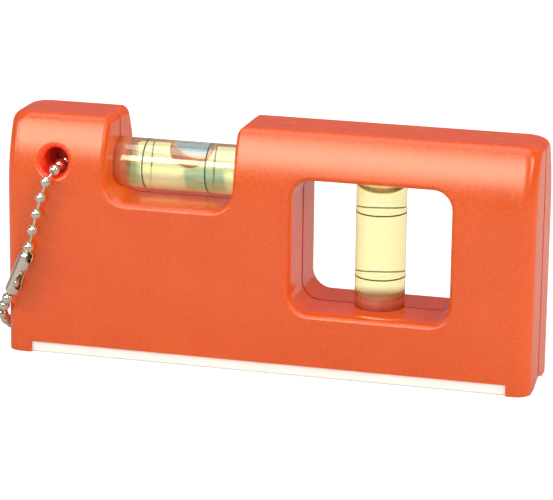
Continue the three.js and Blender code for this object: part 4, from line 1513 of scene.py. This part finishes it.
@dataclass
class BallChain:
    """Ball chain through the keyring hole, as hollow beads on short wire links."""

    bead_radius: float = 1.24
    bead_sheet: float = 0.16
    hole_radius: float = 0.42
    hole_taper: float = 0.02
    outside_steps: int = 18
    inside_steps: int = 12
    bead_facets: int = 28
    link_radius: float = 0.33
    link_length: float = 2.3
    link_facets: int = 12
    flare: float = 0.4
    flare_share: float = 0.8
    flare_ends: Span = (0.28, 0.5)
    centres: tuple[Place, ...] = (
        (-51.575, -13.4, 20.785), (-50.095, -13.4, 24.323), (-49.272, -12.997, 28.046),
        (-48.406, -13.0, 31.78), (-47.337, -13.0, 35.465), (-46.116, -13.002, 39.1),
        (-44.965, -10.557, 41.215), (-45.1, -6.746, 41.533), (-45.1, -2.909, 41.681),
        (-45.1, 0.93, 41.706), (-45.1, 4.77, 41.63), (-45.062, 8.592, 41.403),
        (-45.161, 12.27, 40.613), (-46.755, 13.073, 37.352), (-47.876, 13.0, 33.686),
        (-48.842, 12.976, 29.975), (-49.618, 13.199, 26.233), (-50.702, 13.529, 22.583),
        (-52.109, 13.799, 19.018), (-53.621, 13.879, 15.49), (-55.25, 13.262, 12.104),
        (-56.901, 10.731, 9.79), (-58.136, 8.288, 7.118), (-58.47, 5.126, 4.976),
        (-58.602, 1.709, 3.251), (-58.596, -2.016, 3.363), (-58.451, -5.407, 5.142),
        (-58.067, -8.52, 7.328), (-56.773, -10.933, 10.004), (-55.081, -13.4, 12.404),
        (-53.601, -13.4, 15.942),
    )

    def bead(self) -> Solid:
        """One hollow bead about its own Z axis, with a hole at each end.

        Returns:
            The closed bead.
        """
        hollow = self.bead_radius - self.bead_sheet
        start = math.degrees(math.asin(self.hole_radius / self.bead_radius))
        turn = math.degrees(math.asin((self.hole_radius + self.hole_taper) / hollow))
        outside = arc((0, 0), self.bead_radius, -90 + start, 90 - start, self.outside_steps)
        inside = arc((0, 0), hollow, 90 - turn, -90 + turn, self.inside_steps)
        return Solid.turned("bead_form", [*outside, *inside, outside[0]], self.bead_facets)

    def link(self) -> Solid:
        """One wire link about its own Z axis, flared where the beads hold it.

        Returns:
            The closed link.
        """
        half = self.link_length / 2
        near, far = self.flare_ends
        throat = (self.flare * self.flare_share, half - near)
        flare = [(self.flare, half), throat, (self.link_radius, half - far)]
        profile = [(0.0, half), *flare, *[(r, -z) for r, z in flare[::-1]], (0.0, -half)]
        return Solid.turned("link_form", profile, self.link_facets)

    def strand_tree(self) -> tuple[bpy.types.NodeTree, dict[str, str]]:
        """Node tree that sets a bead on every point and a link on every edge of a strand.

        Returns:
            The tree, and the identifier of each of its named inputs.
        """
        tree = bpy.data.node_groups.new("bead_strand", "GeometryNodeTree")
        face = tree.interface
        face.new_socket("Geometry", in_out="INPUT", socket_type="NodeSocketGeometry")
        names = {}
        inputs = {"Bead": "Object", "Link": "Object", "Bead Scale": "Float", "Finish": "Material"}
        for name, kind in inputs.items():
            socket = face.new_socket(name, in_out="INPUT", socket_type=f"NodeSocket{kind}")
            names[name] = socket.identifier
        face.new_socket("Geometry", in_out="OUTPUT", socket_type="NodeSocketGeometry")
        graph = Graph(tree)
        entry = graph.node("NodeGroupInput").outputs
        bead = graph.node("GeometryNodeObjectInfo", {"Object": entry["Bead"]})
        link = graph.node("GeometryNodeObjectInfo", {"Object": entry["Link"]})
        curve = graph.node("GeometryNodeMeshToCurve", {"Mesh": entry["Geometry"]})
        points = graph.node("GeometryNodeCurveToPoints", {"Curve": curve.outputs[0]}, mode="EVALUATED")
        beads = graph.node("GeometryNodeInstanceOnPoints", {
            "Points": points.outputs["Points"], "Instance": bead.outputs["Geometry"],
            "Rotation": points.outputs["Rotation"], "Scale": entry["Bead Scale"],
        })
        ends = graph.node("GeometryNodeInputMeshEdgeVertices").outputs
        positions = {0: ends["Position 2"], 1: ends["Position 1"]}
        run = graph.node("ShaderNodeVectorMath", positions, operation="SUBTRACT")
        kept = graph.node("GeometryNodeStoreNamedAttribute", {
            "Geometry": entry["Geometry"], "Name": "run", "Value": run.outputs[0],
        }, data_type="FLOAT_VECTOR", domain="EDGE")
        middles = graph.node("GeometryNodeMeshToPoints", {"Mesh": kept.outputs[0]}, mode="EDGES")
        stored = graph.node("GeometryNodeInputNamedAttribute", {"Name": "run"}, data_type="FLOAT_VECTOR")
        turn = graph.node("FunctionNodeAlignRotationToVector", {"Vector": stored.outputs[0]}, axis="Z")
        links = graph.node("GeometryNodeInstanceOnPoints", {
            "Points": middles.outputs[0], "Instance": link.outputs["Geometry"], "Rotation": turn.outputs[0],
        })
        joined = graph.node("GeometryNodeJoinGeometry")
        for made in (links, beads):
            tree.links.new(made.outputs[0], joined.inputs[0])
        real = graph.node("GeometryNodeRealizeInstances", {"Geometry": joined.outputs[0]})
        dress = {"Geometry": real.outputs[0], "Material": entry["Finish"]}
        graph.node("NodeGroupOutput", {0: graph.node("GeometryNodeSetMaterial", dress).outputs[0]})
        return tree, names

    def build(self) -> list[bpy.types.Object]:
        """Builds the whole strand as one piece.

        Returns:
            The strand.
        """
        strand = Solid("ball_chain_strand", np.zeros((0, 3)), [])
        strand.thing.data = bpy.data.meshes.new("strand")
        edges = [(i, i + 1) for i in range(len(self.centres) - 1)]
        strand.thing.data.from_pydata([(x - BODY_MIDDLE_X, y, z) for x, y, z in self.centres], edges, [])
        bead, link = self.bead(), self.link()
        tree, names = self.strand_tree()
        modifier = strand.thing.modifiers.new("beads", "NODES")
        modifier.node_group = tree
        values = {"Bead": bead.thing, "Link": link.thing, "Bead Scale": 1.0, "Finish": NICKEL.material()}
        for name, value in values.items():
            modifier[names[name]] = value
        strand.settle()
        bead.discard()
        link.discard()
        nodes = [f"chain_bead_{i + 1:02d}" for i in range(len(self.centres))]
        return [finished(strand, [NICKEL], Body.CHAIN, nodes, smooth_angle=50)]


@dataclass
class FoldedConnector:
    """Connector folded from thin sheet, with a mouth that a bead goes in through."""

    middle: Place = (-54.088, -13.4, 18.3635)
    axis: Place = (-0.38591, 0.0, -0.92254)
    half_length: float = 5.1
    radius: float = 1.6
    sheet: float = 0.22
    opening_turn: float = 74.0
    slot_half_width: float = 0.22
    mouths: tuple[Sizes, ...] = ((0.9, 2.6, 66.0), (-5.0, 1.7, 54.0))
    mouth_shape: int = 4
    end_round: float = 0.9
    end_radius: float = 0.72
    length_steps: int = 110
    round_steps: int = 40

    def half_opening(self, along: float) -> float:
        """Half of the opening at a distance from the middle.

        Args:
            along: Distance from the connector's middle.

        Returns:
            The angle in degrees.
        """
        widest = math.degrees(self.slot_half_width / self.radius)
        for centre, half, angle in self.mouths:
            share = (along - centre) / half
            if abs(share) < 1:
                widest = max(widest, angle * math.sqrt(1 - share**self.mouth_shape))
        return widest

    def radius_at(self, along: float) -> float:
        """Radius of the fold, which closes in towards both ends."""
        rest = max(abs(along) - self.half_length + self.end_round, 0) / self.end_round
        return self.end_radius + (self.radius - self.end_radius) * math.sqrt(max(1 - rest**2, 0))

    def build(self) -> list[bpy.types.Object]:
        """Builds the connector.

        Returns:
            The connector.
        """
        down = Vector(self.axis).normalized()
        front = Vector((0, -1, 0))
        side = front.cross(down)
        side = side if side.x > 0 else -side
        width = self.round_steps + 1
        points = []
        for i in range(self.length_steps + 1):
            along = self.half_length * math.sin(math.pi * (i / self.length_steps - 0.5))
            gap = self.half_opening(along)
            radius = self.radius_at(along) - self.sheet / 2
            for j in range(width):
                angle = math.radians(self.opening_turn + gap + (360 - 2 * gap) * j / self.round_steps)
                outward = front * math.cos(angle) + side * math.sin(angle)
                points.append(Vector(self.middle) + down * along + outward * radius)
        faces = []
        for i in range(self.length_steps):
            for j in range(self.round_steps):
                a = i * width + j
                faces.append((a, a + 1, a + width + 1, a + width))
        solid = Solid("folded_connector", np.array([tuple(p) for p in points]), faces)
        thick = solid.thing.modifiers.new("sheet", "SOLIDIFY")
        thick.thickness = self.sheet
        thick.offset = 0
        solid.settle()
        return [finished(solid, [NICKEL], Body.CONNECTOR, ["chain_connector"], smooth_angle=40)]


class Seen(Enum):
    """What a lamp acts on."""

    ALWAYS = "all surfaces"
    IN_GLOSS = "reflections only"
    IN_DULL = "diffuse surfaces only"


@dataclass(frozen=True)
class Lamp:
    """Soft area lamp that faces the object. Its angles are in degrees, its lengths in metres."""

    name: str
    azimuth: float
    elevation: float
    size: Sizes
    power: float
    colour: Colour
    seen: Seen = Seen.ALWAYS
    distance: float = 0.9
    aim: Place = (0.0, 0.0, 0.028)

    def hang(self) -> None:
        """Adds the lamp to the scene. Azimuth zero is in front of the object, and right is positive."""
        turn, rise = math.radians(self.azimuth), math.radians(self.elevation)
        level = math.cos(rise)
        away = Vector((math.sin(turn) * level, -math.cos(turn) * level, math.sin(rise)))
        data = bpy.data.lights.new(self.name, "AREA")
        data.shape = "RECTANGLE"
        data.size, data.size_y = self.size
        data.energy = self.power
        data.color = self.colour
        thing = bpy.data.objects.new(self.name, data)
        thing.visible_diffuse = self.seen is not Seen.IN_GLOSS
        thing.visible_glossy = self.seen is not Seen.IN_DULL
        facing = away.to_track_quat("Z", "Y").to_matrix().to_4x4()
        thing.matrix_world = Matrix.Translation(Vector(self.aim) + away * self.distance) @ facing
        bpy.context.scene.collection.objects.link(thing)


@dataclass
class Studio:
    """Pale floor, plain soft light and the photograph's camera."""

    picture_width: int = 553
    focal_pixels: float = 2820.6
    sensor: float = 36.0
    clip: Span = (0.01, 20.0)
    eye: Place = (153.86, -567.24, 186.12)
    target: Place = (1.8, 0.0, 24.48)
    roll: float = 0.70
    floor_size: float = 3000.0
    floor_gap: float = 0.02
    floor_colour: Paint = (0.82, 0.82, 0.82, 1.0)
    seen_floor_colour: Paint = (0.32, 0.32, 0.32, 1.0)
    seen_floor_glow: float = 0.86
    glossy_floor_glow: float = 0.06
    painted_sky_colour: Paint = (0.99, 0.98, 1.0, 1.0)
    sky_light: float = 0.3
    front_room: Paint = (0.1, 0.1, 0.11, 1.0)
    rear_room: Paint = (0.22, 0.18, 0.26, 1.0)
    clear_room: Paint = (0.7, 0.78, 0.92, 1.0)
    rear_span: Span = (-0.35, 0.15)
    low_span: Span = (-0.16, -0.03)
    high_span: Span = (0.04, 0.22)
    lamps: tuple[Lamp, ...] = (
        Lamp("key", -16, 34, (0.7, 0.3), 0.95, (1.0, 0.95, 0.86), Seen.IN_DULL),
        Lamp("side", -58, 24, (0.3, 0.3), 2.6, (1.0, 0.95, 0.88), Seen.IN_DULL),
        Lamp("softbox", -16, 30.3, (1.0, 0.34), 7.0, (0.74, 0.96, 0.74), Seen.IN_GLOSS),
        Lamp("left", -60, 20, (0.22, 0.3), 0.9, (1.0, 0.985, 0.96)),
        Lamp("right", 60, 30, (0.12, 0.3), 1.3, (0.8, 0.97, 0.8), Seen.IN_GLOSS),
        Lamp("right_fill", 62, 22, (0.6, 0.6), 5.4, (1.0, 0.91, 0.82), Seen.IN_DULL),
        Lamp("top", 10, 80, (0.8, 0.8), 3.5, (1.0, 0.99, 0.97), distance=0.8),
        Lamp("rear", 165, 42, (0.8, 0.5), 5.4, (1.0, 0.98, 0.98), Seen.IN_DULL),
    )

    def camera(self) -> None:
        """Adds the camera at the photograph's viewing angle."""
        eye, target = Vector(self.eye) * MILLIMETRE, Vector(self.target) * MILLIMETRE
        ahead = (target - eye).normalized()
        right = ahead.cross(Vector((0, 0, 1))).normalized()
        up = right.cross(ahead)
        turn = math.radians(self.roll)
        rolled_right = right * math.cos(turn) + up * math.sin(turn)
        rolled_up = up * math.cos(turn) - right * math.sin(turn)
        data = bpy.data.cameras.new("view")
        data.sensor_width = self.sensor
        data.sensor_fit = "HORIZONTAL"
        data.lens = self.focal_pixels / self.picture_width * self.sensor
        data.clip_start, data.clip_end = self.clip
        thing = bpy.data.objects.new("view", data)
        columns = Matrix((rolled_right, rolled_up, -ahead)).transposed().to_4x4()
        thing.matrix_world = Matrix.Translation(eye) @ columns
        bpy.context.scene.collection.objects.link(thing)
        bpy.context.scene.camera = thing

    @staticmethod
    def seen_directly(graph: Graph) -> Socket:
        """One for a ray from the camera or through metal or glass, and zero for other light.

        Args:
            graph: Node tree that reads it.

        Returns:
            The share.
        """
        rays = graph.rays()
        either = graph.maths("MAXIMUM", rays["Is Camera Ray"], rays["Is Glossy Ray"])
        return graph.maths("MAXIMUM", either, rays["Is Transmission Ray"])

    def world(self) -> None:
        """Adds even pale light from all round, a dim room in reflections and a white background."""
        world = bpy.data.worlds.new("studio")
        world.use_nodes = True
        graph = Graph(world.node_tree)
        parts = graph.parts(graph.node("ShaderNodeTexCoord").outputs["Generated"])
        rays = graph.rays()
        behind = graph.ranged(parts["Y"], self.rear_span)
        low = graph.ranged(parts["Z"], self.low_span, (1.0, 0.0))
        high = graph.ranged(parts["Z"], self.high_span)
        rear = graph.blend(rays["Is Transmission Ray"], self.rear_room, self.clear_room)
        room = graph.background(graph.blend(behind, self.front_room, rear))
        pale = graph.maths("MULTIPLY", graph.maths("MAXIMUM", low, high), rays["Is Transmission Ray"])
        side = graph.maths("MAXIMUM", graph.maths("MULTIPLY", behind, pale), rays["Is Camera Ray"])
        shown = graph.mixed(side, room, graph.background(WHITE))
        light = graph.background(self.painted_sky_colour, self.sky_light)
        mix = graph.mixed(self.seen_directly(graph), light, shown)
        graph.node("ShaderNodeOutputWorld", {"Surface": mix})
        bpy.context.scene.world = world

    def floor(self) -> None:
        """Adds a pale floor that shows white and keeps the object's shadow."""
        half = self.floor_size / 2 * MILLIMETRE
        low = -self.floor_gap * MILLIMETRE
        mesh = bpy.data.meshes.new("floor")
        rim = [(-half, -half, low), (half, -half, low), (half, half, low), (-half, half, low)]
        mesh.from_pydata(rim, [], [(0, 1, 2, 3)])
        material = bpy.data.materials.new("pale_floor")
        material.use_nodes = True
        graph = Graph(material.node_tree)
        rays = graph.rays()
        pale = graph.shader("BsdfDiffuse", {"Color": self.floor_colour})
        faint = graph.shader("BsdfDiffuse", {"Color": self.seen_floor_colour})
        seen = graph.maths("MAXIMUM", rays["Is Camera Ray"], rays["Is Transmission Ray"])
        seen_glow = graph.maths("MULTIPLY", seen, self.seen_floor_glow)
        glossy_glow = graph.maths("MULTIPLY", rays["Is Glossy Ray"], self.glossy_floor_glow)
        strength = graph.maths("MAXIMUM", seen_glow, glossy_glow)
        glow = graph.shader("Emission", {"Color": WHITE, "Strength": strength})
        lit = graph.shader("AddShader", {0: faint, 1: glow})
        mix = graph.mixed(self.seen_directly(graph), pale, lit)
        graph.node("ShaderNodeOutputMaterial", {"Surface": mix})
        mesh.materials.append(material)
        thing = bpy.data.objects.new("floor", mesh)
        bpy.context.scene.collection.objects.link(thing)

    def build(self) -> None:
        """Sets up the camera, the floor and the light."""
        self.camera()
        self.floor()
        self.world()
        for lamp in self.lamps:
            lamp.hang()
        bpy.context.scene.view_settings.view_transform = "Standard"


def corners(bounds: Iterable[Sequence[float]]) -> list[list[float]]:
    """Plain lists of a pair of corners."""
    return [[float(value) for value in corner] for corner in bounds]


def main() -> None:
    """Builds the level's sub-assemblies in order, then the studio."""
    logging.basicConfig(level=logging.INFO, format="%(name)s: %(message)s")
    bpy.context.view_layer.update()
    assemblies = (
        MouldedBody(),
        BaseRail(),
        Vial(Lie.ALONG, start=(-37.7, 0.0, 41.6), length=38.015, first_mark=8.95, solid_end=4.1),
        Vial(Lie.UPRIGHT, start=(23.0575, 0.0, 10.5), length=38.0, first_mark=10.6),
        BallChain(),
        FoldedConnector(),
    )
    for assembly in assemblies:
        pieces = assembly.build()
        LOG.info("%s: %d pieces", type(assembly).__name__, len(pieces))
    Studio().build()


if __name__ == "__main__":
    main()
